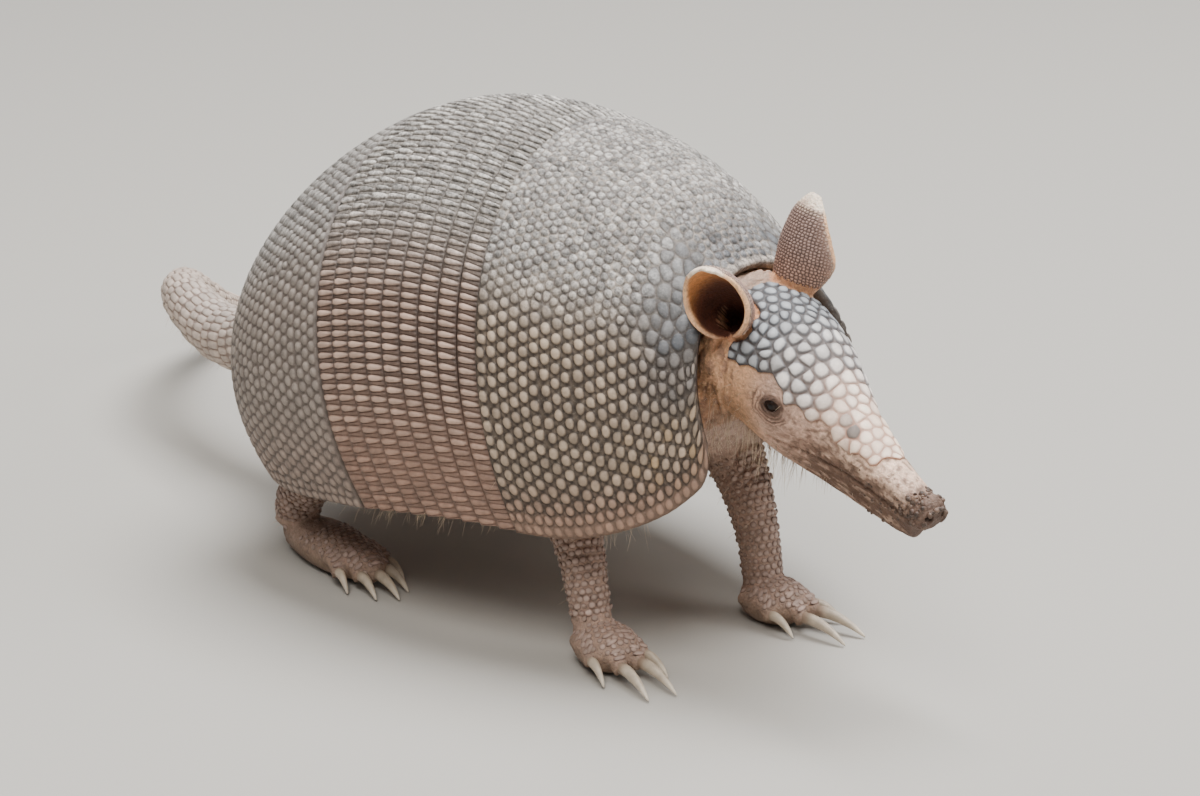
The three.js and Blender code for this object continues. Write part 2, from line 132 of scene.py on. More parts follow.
def smooth_line(*points, between=40):
    """Close points on a smooth curve through the given ones."""
    knots = np.array(points, float)
    knots = np.vstack([2 * knots[0] - knots[1], knots, 2 * knots[-1] - knots[-2]])
    spans = []
    for a, b, c, d in zip(knots, knots[1:], knots[2:], knots[3:]):
        ab, bc, cd = (max(np.linalg.norm(step), 1e-9) ** 0.5 for step in (b - a, c - b, d - c))
        leaves = ((b - a) / ab - (c - a) / (ab + bc) + (c - b) / bc) * bc
        arrives = ((c - b) / bc - (d - b) / (bc + cd) + (d - c) / cd) * bc
        t = np.linspace(0, 1, between, endpoint=False)[:, None]
        spans.append((2 * t**3 - 3 * t**2 + 1) * b + (t**3 - 2 * t**2 + t) * leaves
                     + (3 * t**2 - 2 * t**3) * c + (t**3 - t**2) * arrives)
    return np.vstack(spans + [knots[-2]])


def line_length(line):
    return np.linalg.norm(np.diff(line, axis=0), axis=1).sum()


def point_on(line, share):
    """The points at these shares of a line's length."""
    steps = np.linalg.norm(np.diff(line, axis=0), axis=1)
    marks = np.concatenate([[0], np.cumsum(steps)]) / steps.sum()
    return np.stack([np.interp(share, marks, line[:, k]) for k in range(line.shape[1])], -1)


def value_at(row, at):
    """What a row of (place, value) points gives at these places."""
    return np.interp(at, row[:, 0], row[:, 1])


BACK_LINE = smooth_line(
    (0.106, 0, 0.149), (0.069, 0, 0.175), (0.012, 0, 0.187), (-0.046, 0, 0.181),
    (-0.095, 0, 0.153), (-0.119, 0, 0.121), (-0.121, 0, 0.098))
EDGE_LINE = smooth_line(
    (0.127, 0.039, 0.084), (0.111, 0.050, 0.067), (0.084, 0.065, 0.055), (0.031, 0.080, 0.052),
    (-0.025, 0.084, 0.044), (-0.068, 0.079, 0.040), (-0.101, 0.058, 0.047))


def directions(rows):
    """Rows of vectors, each made one long."""
    return rows / np.linalg.norm(rows, axis=1)[:, None]


def shell_form(u, v):
    top, edge = point_on(BACK_LINE, u), point_on(EDGE_LINE, u)
    down = (1 - np.cos(v * EDGE_ANGLE)) / (1 - math.cos(EDGE_ANGLE))
    return np.stack([
        top[:, 0] + (edge[:, 0] - top[:, 0]) * down,
        edge[:, 1] / math.sin(EDGE_ANGLE) * np.sin(v * EDGE_ANGLE),
        top[:, 2] + (edge[:, 2] - top[:, 2]) * down], -1) + np.array(home)


def on_shell(u, v, lift):
    """Points of the shell: u from the neck to the tail, v from the right edge to the left, lift outward."""
    reach = 0.003
    rearward = shell_form(u + reach, v) - shell_form(u - reach, v)
    leftward = shell_form(u, v + reach) - shell_form(u, v - reach)
    outward = directions(np.cross(leftward, rearward))
    return shell_form(u, v) + outward * np.asarray(lift)[:, None]


SHELL_LENGTH = line_length(BACK_LINE)
arch_marks = np.linspace(0, 1, 60)
arch_lengths = np.array([
    line_length(shell_form(np.full(80, u), np.linspace(0, 1, 80))) for u in arch_marks])


# The shell laid flat: q along it, stretched so that a small circle stays one, and v across it.
fine_marks = np.linspace(0, 1, 600)
flat_marks = np.concatenate([[0], np.cumsum(
    SHELL_LENGTH * np.diff(fine_marks) / np.interp(fine_marks[1:], arch_marks, arch_lengths))])


def half_arch(u):
    """Metres from the back line to the edge, and so the metres that one step on the flat stands for."""
    return np.interp(u, arch_marks, arch_lengths)


def u_of(q):
    return np.interp(q, flat_marks, fine_marks)


def q_of(u):
    return np.interp(u, fine_marks, flat_marks)


def cells_between(seeds, mirrored, joined=0.005):
    """Parts flat ground into one cell round each seed. Returns each cell's corners in order.
    The mirrored seeds stand outside, so that the outer cells end on the border."""
    count = len(seeds)
    spots = [Vector(p) for p in np.vstack([seeds, mirrored])]
    corners, _, faces, origins, _, _ = geometry.delaunay_2d_cdt(spots, [], [], 0, 1e-6)
    of_seed = [set(o) for o in origins]
    places = np.array([tuple(c) for c in corners])
    a, b, c = (places[[f[k] for f in faces]] for k in range(3))
    ab, ac = b - a, c - a
    twice = 2 * (ab[:, 0] * ac[:, 1] - ab[:, 1] * ac[:, 0])
    twice[np.abs(twice) < 1e-14] = 1e-14
    ab2, ac2 = (ab**2).sum(1), (ac**2).sum(1)
    to_centre = np.stack([ac[:, 1] * ab2 - ab[:, 1] * ac2, ab[:, 0] * ac2 - ac[:, 0] * ab2], -1)
    centres = a + to_centre / twice[:, None]
    # Centres that nearly meet become one corner.
    merged = list(range(len(faces)))

    def root(i):
        while merged[i] != i:
            i = merged[i]
        return i

    sides = {}
    for i, f in enumerate(faces):
        for p, q in ((f[0], f[1]), (f[1], f[2]), (f[2], f[0])):
            other = sides.setdefault((min(p, q), max(p, q)), i)
            if other != i and np.linalg.norm(centres[i] - centres[other]) < joined:
                merged[root(i)] = root(other)
    round_seed = {}
    for i, f in enumerate(faces):
        for p in f:
            for o in of_seed[p]:
                if o < count:
                    round_seed.setdefault(o, set()).add(root(i))
    cells = []
    for seed in range(count):
        ring = list(round_seed.get(seed, ()))
        turn = [math.atan2(*(centres[i] - seeds[seed])[::-1]) for i in ring]
        cells.append([ring[k] for k in np.argsort(turn)])
    return cells, centres


def evened(seeds, mirror, rounds):
    """Moves each seed to the middle of its cell, a few times over."""
    for _ in range(rounds):
        cells, centres = cells_between(seeds, mirror(seeds))
        for i, cell in enumerate(cells):
            if len(cell) > 2:
                seeds[i] = seeds[i] * 0.3 + centres[cell].mean(0) * 0.7
    return cells_between(seeds, mirror(seeds))


def paint(mesh, colours):
    """Gives each point its colour; a fourth value, where there is one, is under 1 on crusted horn."""
    colours = np.array(colours, float)
    if colours.shape[1] == 3:
        colours = np.hstack([np.clip(colours, 0, 1), np.ones((len(colours), 1))])
    tone = mesh.color_attributes.new("tone", "FLOAT_COLOR", "POINT")
    tone.data.foreach_set("color", colours.astype(np.float32).ravel())


def lay_on_map(mesh, places):
    """Gives a mesh its map, from each point's place on it."""
    turned = np.empty(len(mesh.loops), np.int32)
    mesh.loops.foreach_get("vertex_index", turned)
    layer = mesh.uv_layers.new(name="OFBake")
    layer.data.foreach_set("uv", np.array(places, np.float32)[turned].ravel())
    return layer


def closed_piece(name, mesh):
    """Puts a closed mesh in the scene as a piece, smooth and with all its faces turned outward."""
    mesh.polygons.foreach_set("use_smooth", [True] * len(mesh.polygons))
    piece = bpy.data.objects.new(name, mesh)
    bpy.context.scene.collection.objects.link(piece)
    bpy.ops.object.select_all(action="DESELECT")
    bpy.context.view_layer.objects.active = piece
    piece.select_set(True)
    bpy.ops.object.mode_set(mode="EDIT")
    bpy.ops.mesh.select_all(action="SELECT")
    bpy.ops.mesh.normals_make_consistent(inside=False)
    bpy.ops.object.mode_set(mode="OBJECT")
    return piece


def plated(name, cells, corners, place, plate, thick):
    """One closed mesh of plates: each cell carries a rounded, domed plate on a sunken ground. The
    colours' fourth value is 1 on clean horn and less where it is rough and crusted.
    place(flat, lift) gives points, plate(middle, number) a plate's form and its colours."""
    flat, lifts, colours, faces = [], [], [], []
    ground, under, edges = {}, {}, {}
    # Corners that lie at one place are one, so that what goes right round closes on itself.
    names = [tuple(spot) for spot in np.round(place(corners, np.zeros(len(corners))), 6).tolist()]

    def vertex(at, lift, colour):
        flat.append(at)
        lifts.append(lift)
        colours.append((*colour, 1 - crust))
        return len(flat) - 1

    for number, cell in enumerate(cells):
        cell = [at for at, before in zip(cell, cell[-1:] + cell[:-1]) if names[at] != names[before]]
        if len(cell) < 3:
            continue
        outline = corners[cell]
        middle = outline.mean(0)
        form = plate(middle, number)
        crust = form.get("crust", 0)
        reach = np.maximum(np.linalg.norm(outline - middle, axis=1), 1e-9)
        radius = reach.mean()
        toward = (outline - middle) / reach[:, None]
        rounder = (reach + (radius * 0.97 - reach) * form["round"])[:, None]
        kept = 1 - form["gap"] / (radius * form["metres"])
        inner = middle + toward * np.minimum(rounder, reach[:, None]) * kept
        count = len(cell)
        around = []
        for at in cell:
            if names[at] not in ground:
                ground[names[at]] = vertex(corners[at], form["wedge"], form["wedge_colour"])
                under[names[at]] = vertex(corners[at], -thick, form["ground"])
            around.append(ground[names[at]])
        halfway = []
        for at, after in zip(cell, cell[1:] + cell[:1]):
            side = tuple(sorted((names[at], names[after])))
            if side not in edges:
                spot = (corners[at] + corners[after]) / 2
                edges[side] = [vertex(spot, 0.0, form["ground"]), 0, (names[at], names[after])]
            edges[side][1] += 1
            halfway.append(edges[side][0])
        before, after = np.roll(inner, 1, 0), np.roll(inner, -1, 0)
        cut = form.get("cut", 0.27)
        loop = np.empty((2 * count, 2))
        loop[0::2] = inner + (before - inner) * cut
        loop[1::2] = inner + (after - inner) * cut
        rings = []
        for size, rise, colour in form["rings"]:
            shifted = middle + form.get("lean", 0) * rise
            rings.append([vertex(shifted + (p - middle) * size, rise, colour) for p in loop])
        top = vertex(middle + form.get("lean", 0) * form["top"][0], *form["top"])
        foot = rings[0]
        for i in range(count):
            a, b, next_a = foot[2 * i], foot[2 * i + 1], foot[(2 * i + 2) % (2 * count)]
            faces += [(around[i], b, a), (around[i], halfway[i], b), (halfway[i], next_a, b),
                      (halfway[i], around[(i + 1) % count], next_a)]
        for low, high in zip(rings, rings[1:]):
            for i in range(2 * count):
                k = (i + 1) % (2 * count)
                faces.append((low[i], low[k], high[k], high[i]))
        last = rings[-1]
        faces += [(a, b, top) for a, b in zip(last, last[1:] + last[:1])]
        faces.append(tuple(under[names[at]] for at in reversed(cell)))
    # The rim goes down from each side that only one cell has.
    first_rim = len(faces)
    for spot, used, (at, after) in edges.values():
        if used == 1:
            faces.append((ground[after], spot, ground[at], under[at], under[after]))
    flat = np.array(flat)
    spots = place(flat, np.array(lifts))
    mesh = bpy.data.meshes.new(name)
    mesh.from_pydata(spots.tolist(), [], faces)
    paint(mesh, colours)
    # The map: the plates laid flat fill its lower part, the inner side its upper part.
    low, span = flat.min(0), np.ptp(flat, axis=0)
    spread = (flat - low) / span
    inner_side = np.zeros(len(flat), bool)
    inner_side[list(under.values())] = True
    on_map = np.stack([0.02 + 0.96 * spread[:, 0], 0.02 + 0.76 * spread[:, 1]], -1)
    on_map[inner_side] = np.stack([0.02 + 0.96 * spread[:, 0], 0.82 + 0.16 * spread[:, 1]], -1)[inner_side]
    layer = lay_on_map(mesh, on_map)
    for polygon in mesh.polygons[:first_rim]:
        across = [on_map[v][1] for v in polygon.vertices]
        if max(across) - min(across) > 0.3 and max(across) < 0.8:
            for loop in polygon.loop_indices:
                layer.data[loop].uv[1] = max(across)
    for polygon in mesh.polygons[first_rim:]:
        outer = [on_map[v] for v in polygon.vertices[:3]]
        away = (outer[1] - (0.5, 0.4)) * 0.012 / max(np.linalg.norm(outer[1] - (0.5, 0.4)), 1e-6)
        for loop, at in zip(polygon.loop_indices, outer + [outer[2] + away, outer[0] + away]):
            layer.data[loop].uv = at
    return closed_piece(name, mesh)


def blended(a, b, share):
    return np.array(a) * (1 - share) + np.array(b) * share


def ramp(value, low, high):
    """0 below low, 1 above high, and smooth between them."""
    t = np.clip((value - low) / (high - low), 0, 1)
    return t * t * (3 - 2 * t)


def shield_seeds(u_from, u_to, zones, rim, chance):
    """One seed for each scute of a shield: rows across it, and two rows of smaller ones along each edge."""
    seeds = []
    for pitch, v_from, v_to, loose in zones:
        rows = max(2, round((u_to - u_from) * SHELL_LENGTH / (pitch * 0.91)))
        for row in range(rows):
            u = u_from + (u_to - u_from) * (row + 0.5) / rows
            half = half_arch(u)
            last = min(v_to, 1 - 2 * rim / half)
            shift = 0.25 if row % 2 else -0.25
            for low, high in ((-last, last),) if v_from == 0 else ((-last, -v_from), (v_from, last)):
                across = max(1, round((high - low) * half / pitch))
                for i in range(across):
                    off = chance.uniform(-1, 1, 2) * pitch / half * loose
                    seeds.append((q_of(u) + off[0], low + (high - low) * (i + 0.5 + shift) / across + off[1]))
            if v_to == 1:
                for side in (-1, 1):
                    seeds += [(q_of(u), side * (1 - rim * 0.5 / half)),
                              (q_of(u) + pitch / half * 0.4, side * (1 - rim * 1.5 / half))]
    return np.array([p for p in seeds if q_of(u_from) < p[0] < q_of(u_to)])


def shield_mirror(u_from, u_to):
    """What mirrors the seeds near a shield's border to its outer side."""
    q_from, q_to, reach = q_of(u_from), q_of(u_to), 0.12

    def mirror(seeds):
        left = seeds[seeds[:, 1] > 1 - reach] * (1, -1) + (0, 2)
        right = seeds[seeds[:, 1] < reach - 1] * (1, -1) - (0, 2)
        across = np.vstack([seeds, left, right])
        front = across[across[:, 0] < q_from + reach] * (-1, 1) + (2 * q_from, 0)
        rear = across[across[:, 0] > q_to - reach] * (-1, 1) + (2 * q_to, 0)
        return np.vstack([left, right, front, rear])
    return mirror


def within_shield(corners, u_from, u_to):
    """Corners that stray over a shield's border are set back on it."""
    return np.clip(corners, (q_of(u_from), -1), (q_of(u_to), 1))


def on_flat_shell(flat, lift):
    """The same on the shell, whose two front corners are rounded off."""
    u, v = u_of(flat[:, 0]), flat[:, 1]
    half = half_arch(u)
    short = np.clip(FRONT_CORNER - u * SHELL_LENGTH, 0, FRONT_CORNER)
    raised = FRONT_CORNER - np.sqrt(FRONT_CORNER**2 - short**2)
    return on_shell(u, v * (1 - raised / half * ramp(np.abs(v), 0.3, 1)), lift)


PALE_SCUTE = (0.36, 0.275, 0.20)
YELLOW_SCUTE = (0.41, 0.285, 0.16)
PINK_SCUTE = (0.33, 0.205, 0.145)
RIM_SCUTE = (0.56, 0.47, 0.39)
GREY_SCUTE = (0.325, 0.31, 0.29)
SLATE_SCUTE = (0.09, 0.098, 0.11)
SCURF = (0.50, 0.43, 0.35)
DARK_GROUND = (0.024, 0.015, 0.010)
GREY_GROUND = (0.11, 0.09, 0.078)

shoulder_chance = np.random.default_rng(11)
shoulder_seeds = shield_seeds(0, SHOULDER_TO, SHOULDER_ZONES, SHOULDER_RIM, shoulder_chance)
# The plates behind the neck are larger and uneven, and take the place of the small ones there.
neck_top, neck_low = NECK_PLATES[0][1:3]
seed_side = np.abs(shoulder_seeds[:, 1])
at_neck = (shoulder_seeds[:, 0] < q_of(NECK_PLATES_TO)) & (seed_side > neck_top) & (seed_side < neck_low)
shoulder_seeds = np.vstack([
    shoulder_seeds[~at_neck], shield_seeds(0, NECK_PLATES_TO, NECK_PLATES, SHOULDER_RIM, shoulder_chance)])
shoulder_cells, shoulder_corners = evened(shoulder_seeds, shield_mirror(0, SHOULDER_TO), 2)
shoulder_corners = within_shield(shoulder_corners, 0, SHOULDER_TO)


def domed_rings(height, foot, side, top):
    """The rings of a domed plate, from its foot up, and its middle."""
    rings = [(1.0, height * 0.12, foot), (0.93, height * 0.62, side), (0.66, height * 0.94, top)]
    return {"rings": rings, "top": (height, top)}


def low_domed_rings(height, foot, side, top):
    """The same with one ring less, for the small granules of the back."""
    rings = [(1.0, height * 0.15, foot), (0.80, height * 0.85, blended(side, top, 0.5))]
    return {"rings": rings, "top": (height, top)}


def shoulder_scute(middle, number):
    u = u_of(middle[0])
    half = half_arch(u)
    low = abs(middle[1])
    ahead = 1 - u / SHOULDER_TO
    edge = (1 - low) * half
    down = ramp(low, 0.42, 0.62)
    near_neck = ramp(ahead, 0.55, 0.90) * (1 - ramp(low, 0.62, 0.85))
    chance = shoulder_chance.uniform(0, 1, 4)
    pale = blended(PALE_SCUTE, YELLOW_SCUTE, ramp(ahead, 0.5, 0.8) * (chance[0] > 0.8) * ramp(low, 0.7, 0.85))
    pale = blended(pale, PINK_SCUTE, ramp(low, 0.86, 0.97))
    top = blended(GREY_SCUTE, pale, down)
    top = blended(top, SLATE_SCUTE, near_neck * (0.55 + 0.45 * chance[1]))
    top = blended(top, RIM_SCUTE, 0.7 * (1 - ramp(u, 0.004, 0.012)) * (1 - ramp(low, 0.6, 0.8)))
    top = top * (0.72 - 0.20 * (1 - down) + (0.42 + 0.40 * (1 - down)) * chance[2])
    ground = blended(blended(GREY_GROUND, SCURF, 0.35 * (chance[3] > 0.55)), DARK_GROUND, down)
    ground = blended(ground, PINK_SCUTE, 0.5 * ramp(low, 0.93, 1.0))
    ground = blended(ground, DARK_GROUND, 0.8 * near_neck * ramp(low, 0.1, 0.25))
    side = blended(ground, top, 0.62)
    height = SCUTE_HEIGHT * (1 - 0.45 * (1 - down)) * (1 - 0.4 * ramp(-edge, -0.009, -0.002))
    domed = domed_rings if low > 0.5 else low_domed_rings
    form = domed(height, blended(ground, top, 0.15), side, top * 1.06)
    form.update(
        metres=half, gap=0.00026 + 0.0004 * down, ground=ground,
        crust=(1 - down) * (1 - 0.75 * near_neck * ramp(low, 0.1, 0.25)),
        round=0.15 + 0.65 * down * (1 - 0.5 * ramp(-edge, -0.009, -0.004)),
        wedge=0.00012 + 0.00018 * down, wedge_colour=blended(ground, top, 0.22 + 0.2 * chance[1]))
    return form


shoulder_shield = plated("shoulder_scutes", shoulder_cells, shoulder_corners, on_flat_shell, shoulder_scute,
                         SHELL_THICK)


def feed(tree, node, sockets):
    """Gives each socket its value, or an output: a node given here stands for its first one."""
    for name, value in sockets.items():
        if isinstance(value, bpy.types.Node):
            value = value.outputs[0]
        if isinstance(value, bpy.types.NodeSocket):
            tree.links.new(value, node.inputs[name])
        else:
            node.inputs[name].default_value = value
    return node


def added(tree, kind, sockets, operation=None):
    node = tree.nodes.new("ShaderNode" + kind)
    if operation:
        node.operation = operation
    return feed(tree, node, sockets)


def toned_material(name):
    """A new material, its tree, its shader, and the piece's own colours to feed to it."""
    material = bpy.data.materials.new(name)
    material.use_nodes = True
    tree = material.node_tree
    tone = tree.nodes.new("ShaderNodeAttribute")
    tone.attribute_name = "tone"
    return material, tree, tree.nodes["Principled BSDF"], tone.outputs


def horn(name, grain, roughness, mottle, dirt, coat=0.0):
    """Dull horn in the plates' own tones, with a fine grain, faint mottling and dust in its hollows."""
    material, tree, shader, tone = toned_material(name)
    place = added(tree, "TexCoord", {}).outputs["Object"]
    blotch = added(tree, "TexNoise", {"Vector": place, "Scale": grain * 0.22, "Detail": 6})
    spread = added(tree, "MapRange", {
        "Value": blotch, "From Min": 0.3, "From Max": 0.7, "To Min": 1 - mottle, "To Max": 1 + mottle})
    shaded = added(tree, "VectorMath", {0: tone["Color"], "Scale": spread}, "SCALE")
    fine = added(tree, "TexNoise", {"Vector": place, "Scale": grain, "Detail": 8, "Roughness": 0.65})
    # Old, weathered horn: flecks and cracks of a millimetre or two, where the fourth value is low.
    crumbs = added(tree, "TexNoise", {"Vector": place, "Scale": 560, "Detail": 5, "Roughness": 0.75})
    flecks = added(tree, "MapRange", {
        "Value": crumbs, "From Min": 0.36, "From Max": 0.64, "To Min": 0.3, "To Max": 1.85})
    worn = added(tree, "Mix", {"Factor": tone["Alpha"], "A": flecks, "B": 1})
    crusted = added(tree, "VectorMath", {0: shaded, "Scale": worn}, "SCALE")
    dusty = added(tree, "MapRange", {"Value": fine, "From Min": 0.55, "From Max": 0.78, "To Max": dirt})
    dust = tree.nodes.new("ShaderNodeMix")
    dust.data_type = "RGBA"
    feed(tree, dust, {"Factor": dusty, "A": crusted, "B": (*SCURF, 1)})
    rough = added(tree, "MapRange", {
        "Value": fine, "To Min": roughness - 0.12, "To Max": min(1.0, roughness + 0.12)})
    height = added(tree, "Math", {0: worn, 1: 0.9, 2: fine}, "MULTIPLY_ADD")
    bump = added(tree, "Bump", {"Height": height, "Strength": 0.45, "Distance": 0.0004})
    feed(tree, shader, {
        "Base Color": dust.outputs["Result"], "Roughness": rough,
        "Normal": bump, "Coat Weight": coat, "Coat Roughness": 0.45})
    return material


shell_horn = horn("shell_horn", grain=1400, roughness=0.62, mottle=0.22, dirt=0.35, coat=0.05)
shoulder_shield.data.materials.append(shell_horn)
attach(shoulder_shield, "root")
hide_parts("shoulder_shield")

# -------- the nine bands
# Narrow bony hoops between the shields, each free at its rear edge and tucked under the one before it.
# Their horn is laid in long wedges, broad behind, with narrow dark ones between them.
BAND_COUNT = 9
BANDS_START = 0.336
BANDS_END = 0.622
BAND_GAP = 0.0013
BAND_STEP = 0.0012
WEDGES = 100
WEDGE_FRONT = 0.22
WEDGE_REAR = 0.40
WEDGE_GROOVE = 0.00034
DARK_WEDGE_HEIGHT = 0.0003
BAND_HORN = (0.45, 0.31, 0.24)
# The bands' lowest part: pinker horn, and darker as painted shade on the shell's lower side.
LOW_BAND_HORN_AND_SHADE = (0.30, 0.18, 0.13)
TOP_BAND_HORN = (0.35, 0.33, 0.305)
BAND_DARK = (0.065, 0.038, 0.028)
BAND_GREY = (0.17, 0.15, 0.13)


def band_cells(q_front, q_rear, chance):
    """A band's wedges: each has two corners on the front edge and two on the rear, as have the gaps."""
    step = 2 / WEDGES
    middles = -1 + step * (np.arange(WEDGES) + 0.5)
    fronts = np.concatenate([[-1], np.ravel(np.stack(
        [middles - WEDGE_FRONT * step, middles + WEDGE_FRONT * step], -1)), [1]])
    rears = np.concatenate([[-1], np.ravel(np.stack(
        [middles - WEDGE_REAR * step, middles + WEDGE_REAR * step], -1)), [1]])
    corners = np.vstack([
        np.stack([np.full(len(row), q), row], -1) for q, row in ((q_front, fronts), (q_rear, rears))])
    count = len(fronts)
    uneven = chance.uniform(-0.07, 0.07, 2 * count) * step * (2 - 1.4 * ramp(np.abs(corners[:, 1]), 0.3, 0.6))
    uneven[[0, count - 1, count, 2 * count - 1]] = 0
    corners[:, 1] += uneven
    return [[i, i + 1, count + i + 1, count + i] for i in range(count - 1)], corners


def band_piece(number):
    share = (BANDS_END - BANDS_START) / BAND_COUNT
    u_front = BANDS_START + number * share
    u_rear = u_front + share - BAND_GAP / SHELL_LENGTH
    q_front, q_rear = q_of(u_front), q_of(u_rear)
    chance = np.random.default_rng(40 + number)
    cells, corners = band_cells(q_front, q_rear, chance)

    def place(flat, lift):
        rearward = (flat[:, 0] - q_front) / (q_rear - q_front)
        sink = np.where(lift < -0.001, 0, BAND_STEP * (1 - np.clip(rearward, 0, 1)))
        return on_flat_shell(flat, lift - sink)

    def wedge(middle, i):
        low = abs(middle[1])
        down = ramp(low, 0.34, 0.60)
        luck = chance.uniform(0, 1, 3)
        # Towards the bottom the horn turns pinker and darker; the darkening is painted shade.
        horn_tone = blended(blended(TOP_BAND_HORN, BAND_HORN, down), LOW_BAND_HORN_AND_SHADE, ramp(low, 0.72, 0.92))
        dark = blended(blended(BAND_GREY, BAND_DARK, down), LOW_BAND_HORN_AND_SHADE, 0.5 * ramp(low, 0.66, 0.9))
        if i % 2:
            top = horn_tone * (0.78 - 0.24 * (1 - down) + (0.4 + 0.44 * (1 - down)) * luck[0])
            height = SCUTE_HEIGHT - DARK_WEDGE_HEIGHT * ramp(low, 0.8, 0.95)
        else:
            top = blended(dark, horn_tone, 0.1 + 0.3 * luck[0] * (1 - 0.5 * down))
            height = DARK_WEDGE_HEIGHT
        form = domed_rings(height, blended(dark, top, 0.15), blended(dark, top, 0.6), top)
        form.update(metres=half_arch(u_front), gap=WEDGE_GROOVE, round=0.0, cut=0.24, ground=dark,
                    wedge=0.0, wedge_colour=dark, crust=1 - down)
        return form

    return plated(f"band_scutes_{number + 1}", cells, corners, place, wedge, SHELL_THICK)


band_horn = horn("band_horn", grain=1400, roughness=0.6, mottle=0.2, dirt=0.3, coat=0.05)
for number in range(BAND_COUNT):
    band = band_piece(number)
    band.data.materials.append(band_horn)
    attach(band, "root")
    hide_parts(f"band_{number + 1}")

# -------- the rump shield
# The rear shield covers the hips down to the root of the tail. Its scutes are smaller and duller than
# the shoulder's, grey-brown with little contrast, in rows that follow the last band.
RUMP_ZONES = ((0.0042, 0, 0.5, 0.22), (0.0048, 0.5, 1, 0.12))
RUMP_RIM = 0.0042
RUMP_SCUTE_HEIGHT = 0.0008
RUMP_SCUTE = (0.28, 0.235, 0.20)
RUMP_TOP = (0.27, 0.255, 0.235)
RUMP_LOW = (0.28, 0.21, 0.17)
RUMP_GROUND = (0.09, 0.068, 0.056)

rump_chance = np.random.default_rng(23)
rump_cells, rump_corners = evened(
    shield_seeds(BANDS_END, 1, RUMP_ZONES, RUMP_RIM, rump_chance), shield_mirror(BANDS_END, 1), 2)
rump_corners = within_shield(rump_corners, BANDS_END, 1)


def rump_scute(middle, number):
    low = abs(middle[1])
    down = ramp(low, 0.35, 0.6)
    luck = rump_chance.uniform(0, 1, 3)
    tone = blended(blended(RUMP_TOP, RUMP_SCUTE, down), RUMP_LOW, ramp(low, 0.75, 0.95))
    top = tone * (0.84 - 0.18 * (1 - down) + (0.3 + 0.36 * (1 - down)) * luck[0])
    ground = blended(GREY_GROUND, RUMP_GROUND, down)
    form = low_domed_rings(RUMP_SCUTE_HEIGHT, blended(ground, top, 0.25), blended(ground, top, 0.65), top)
    form.update(metres=half_arch(u_of(middle[0])), gap=0.00030 + 0.00016 * down, round=0.45, ground=ground,
                crust=0.55 * (1 - down), wedge=0.0001, wedge_colour=blended(ground, top, 0.3))
    return form


rump_shield = plated("rump_scutes", rump_cells, rump_corners, on_flat_shell, rump_scute, SHELL_THICK)
rump_shield.data.materials.append(shell_horn)
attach(rump_shield, "root")
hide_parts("rump_shield")

# -------- the tail
# Bony rings round the tail's thick part, each widest at its rear edge and set into the next like a
# telescope, with two rows of pale horny scales on each. The thin end has small scales and no rings.
TAIL_LINE = smooth_line(
    (-0.106, 0, 0.088), (-0.128, 0, 0.074), (-0.160, -0.003, 0.058), (-0.196, 0.002, 0.051),
    (-0.238, 0.016, 0.053), (-0.274, 0.044, 0.045), (-0.297, 0.082, 0.024), (-0.304, 0.118, 0.008),
    (-0.302, 0.150, 0.0034), (-0.297, 0.176, 0.0022))
TAIL_RADIUS = smooth_line((0, 0.0155), (0.2, 0.0135), (0.45, 0.0095), (0.7, 0.006), (0.9, 0.003), (1, 0.0016))
TAIL_RINGS = 15
TAIL_LENGTHS = (0, 4, 8, 12, 15)
TAIL_RINGS_TO = 0.68
RING_STEP = 0.0009
RING_LENGTH = 0.965
RING_THICK = 0.0022
TAIL_SCALE = 0.0037
# The scales' height and groove, on the rings and on the thin end.
RING_SCALE_FORM = (0.0006, 0.00024)
TIP_SCALE_FORM = (0.00035, 0.00016)
TIP_THICK = 0.0015
TAIL_HORN = (0.52, 0.42, 0.35)
TAIL_GROUND = (0.22, 0.15, 0.12)
TAIL_TOP = (0.40, 0.35, 0.31)


def on_tail(share, angle, lift):
    """Points of the tail: angle 0 is its top, lift stands off its surface."""
    line = np.array(home) + point_on(TAIL_LINE, share)
    ahead = directions(point_on(TAIL_LINE, share + 0.004) - point_on(TAIL_LINE, share - 0.004))
    aside = directions(np.stack([-ahead[:, 1], ahead[:, 0], np.zeros(len(share))], -1))
    over = np.cross(ahead, aside)
    radius = (value_at(TAIL_RADIUS, share) + lift)[:, None]
    return line + radius * (aside * np.sin(angle)[:, None] + over * np.cos(angle)[:, None])


TAIL_WHOLE = line_length(TAIL_LINE)
tail_marks = np.linspace(0, 1, 500)
tail_flat = np.concatenate([[0], np.cumsum(
    TAIL_WHOLE * np.diff(tail_marks) / value_at(TAIL_RADIUS, tail_marks[1:]))])


def tail_scale(middle, chance, height, gap):
    share = np.interp(middle[0], tail_flat, tail_marks)
    up = ramp(math.cos(middle[1]), -0.2, 0.9) * (1 - ramp(share, 0.2, 0.6))
    top = blended(TAIL_HORN, TAIL_TOP, 0.7 * up) * (0.85 + 0.28 * chance.uniform())
    form = domed_rings(height, blended(TAIL_GROUND, top, 0.25), blended(TAIL_GROUND, top, 0.65), top)
    form.update(metres=value_at(TAIL_RADIUS, share), gap=gap, round=0.3, ground=TAIL_GROUND, wedge=0.0,
                wedge_colour=blended(TAIL_GROUND, top, 0.2))
    return form


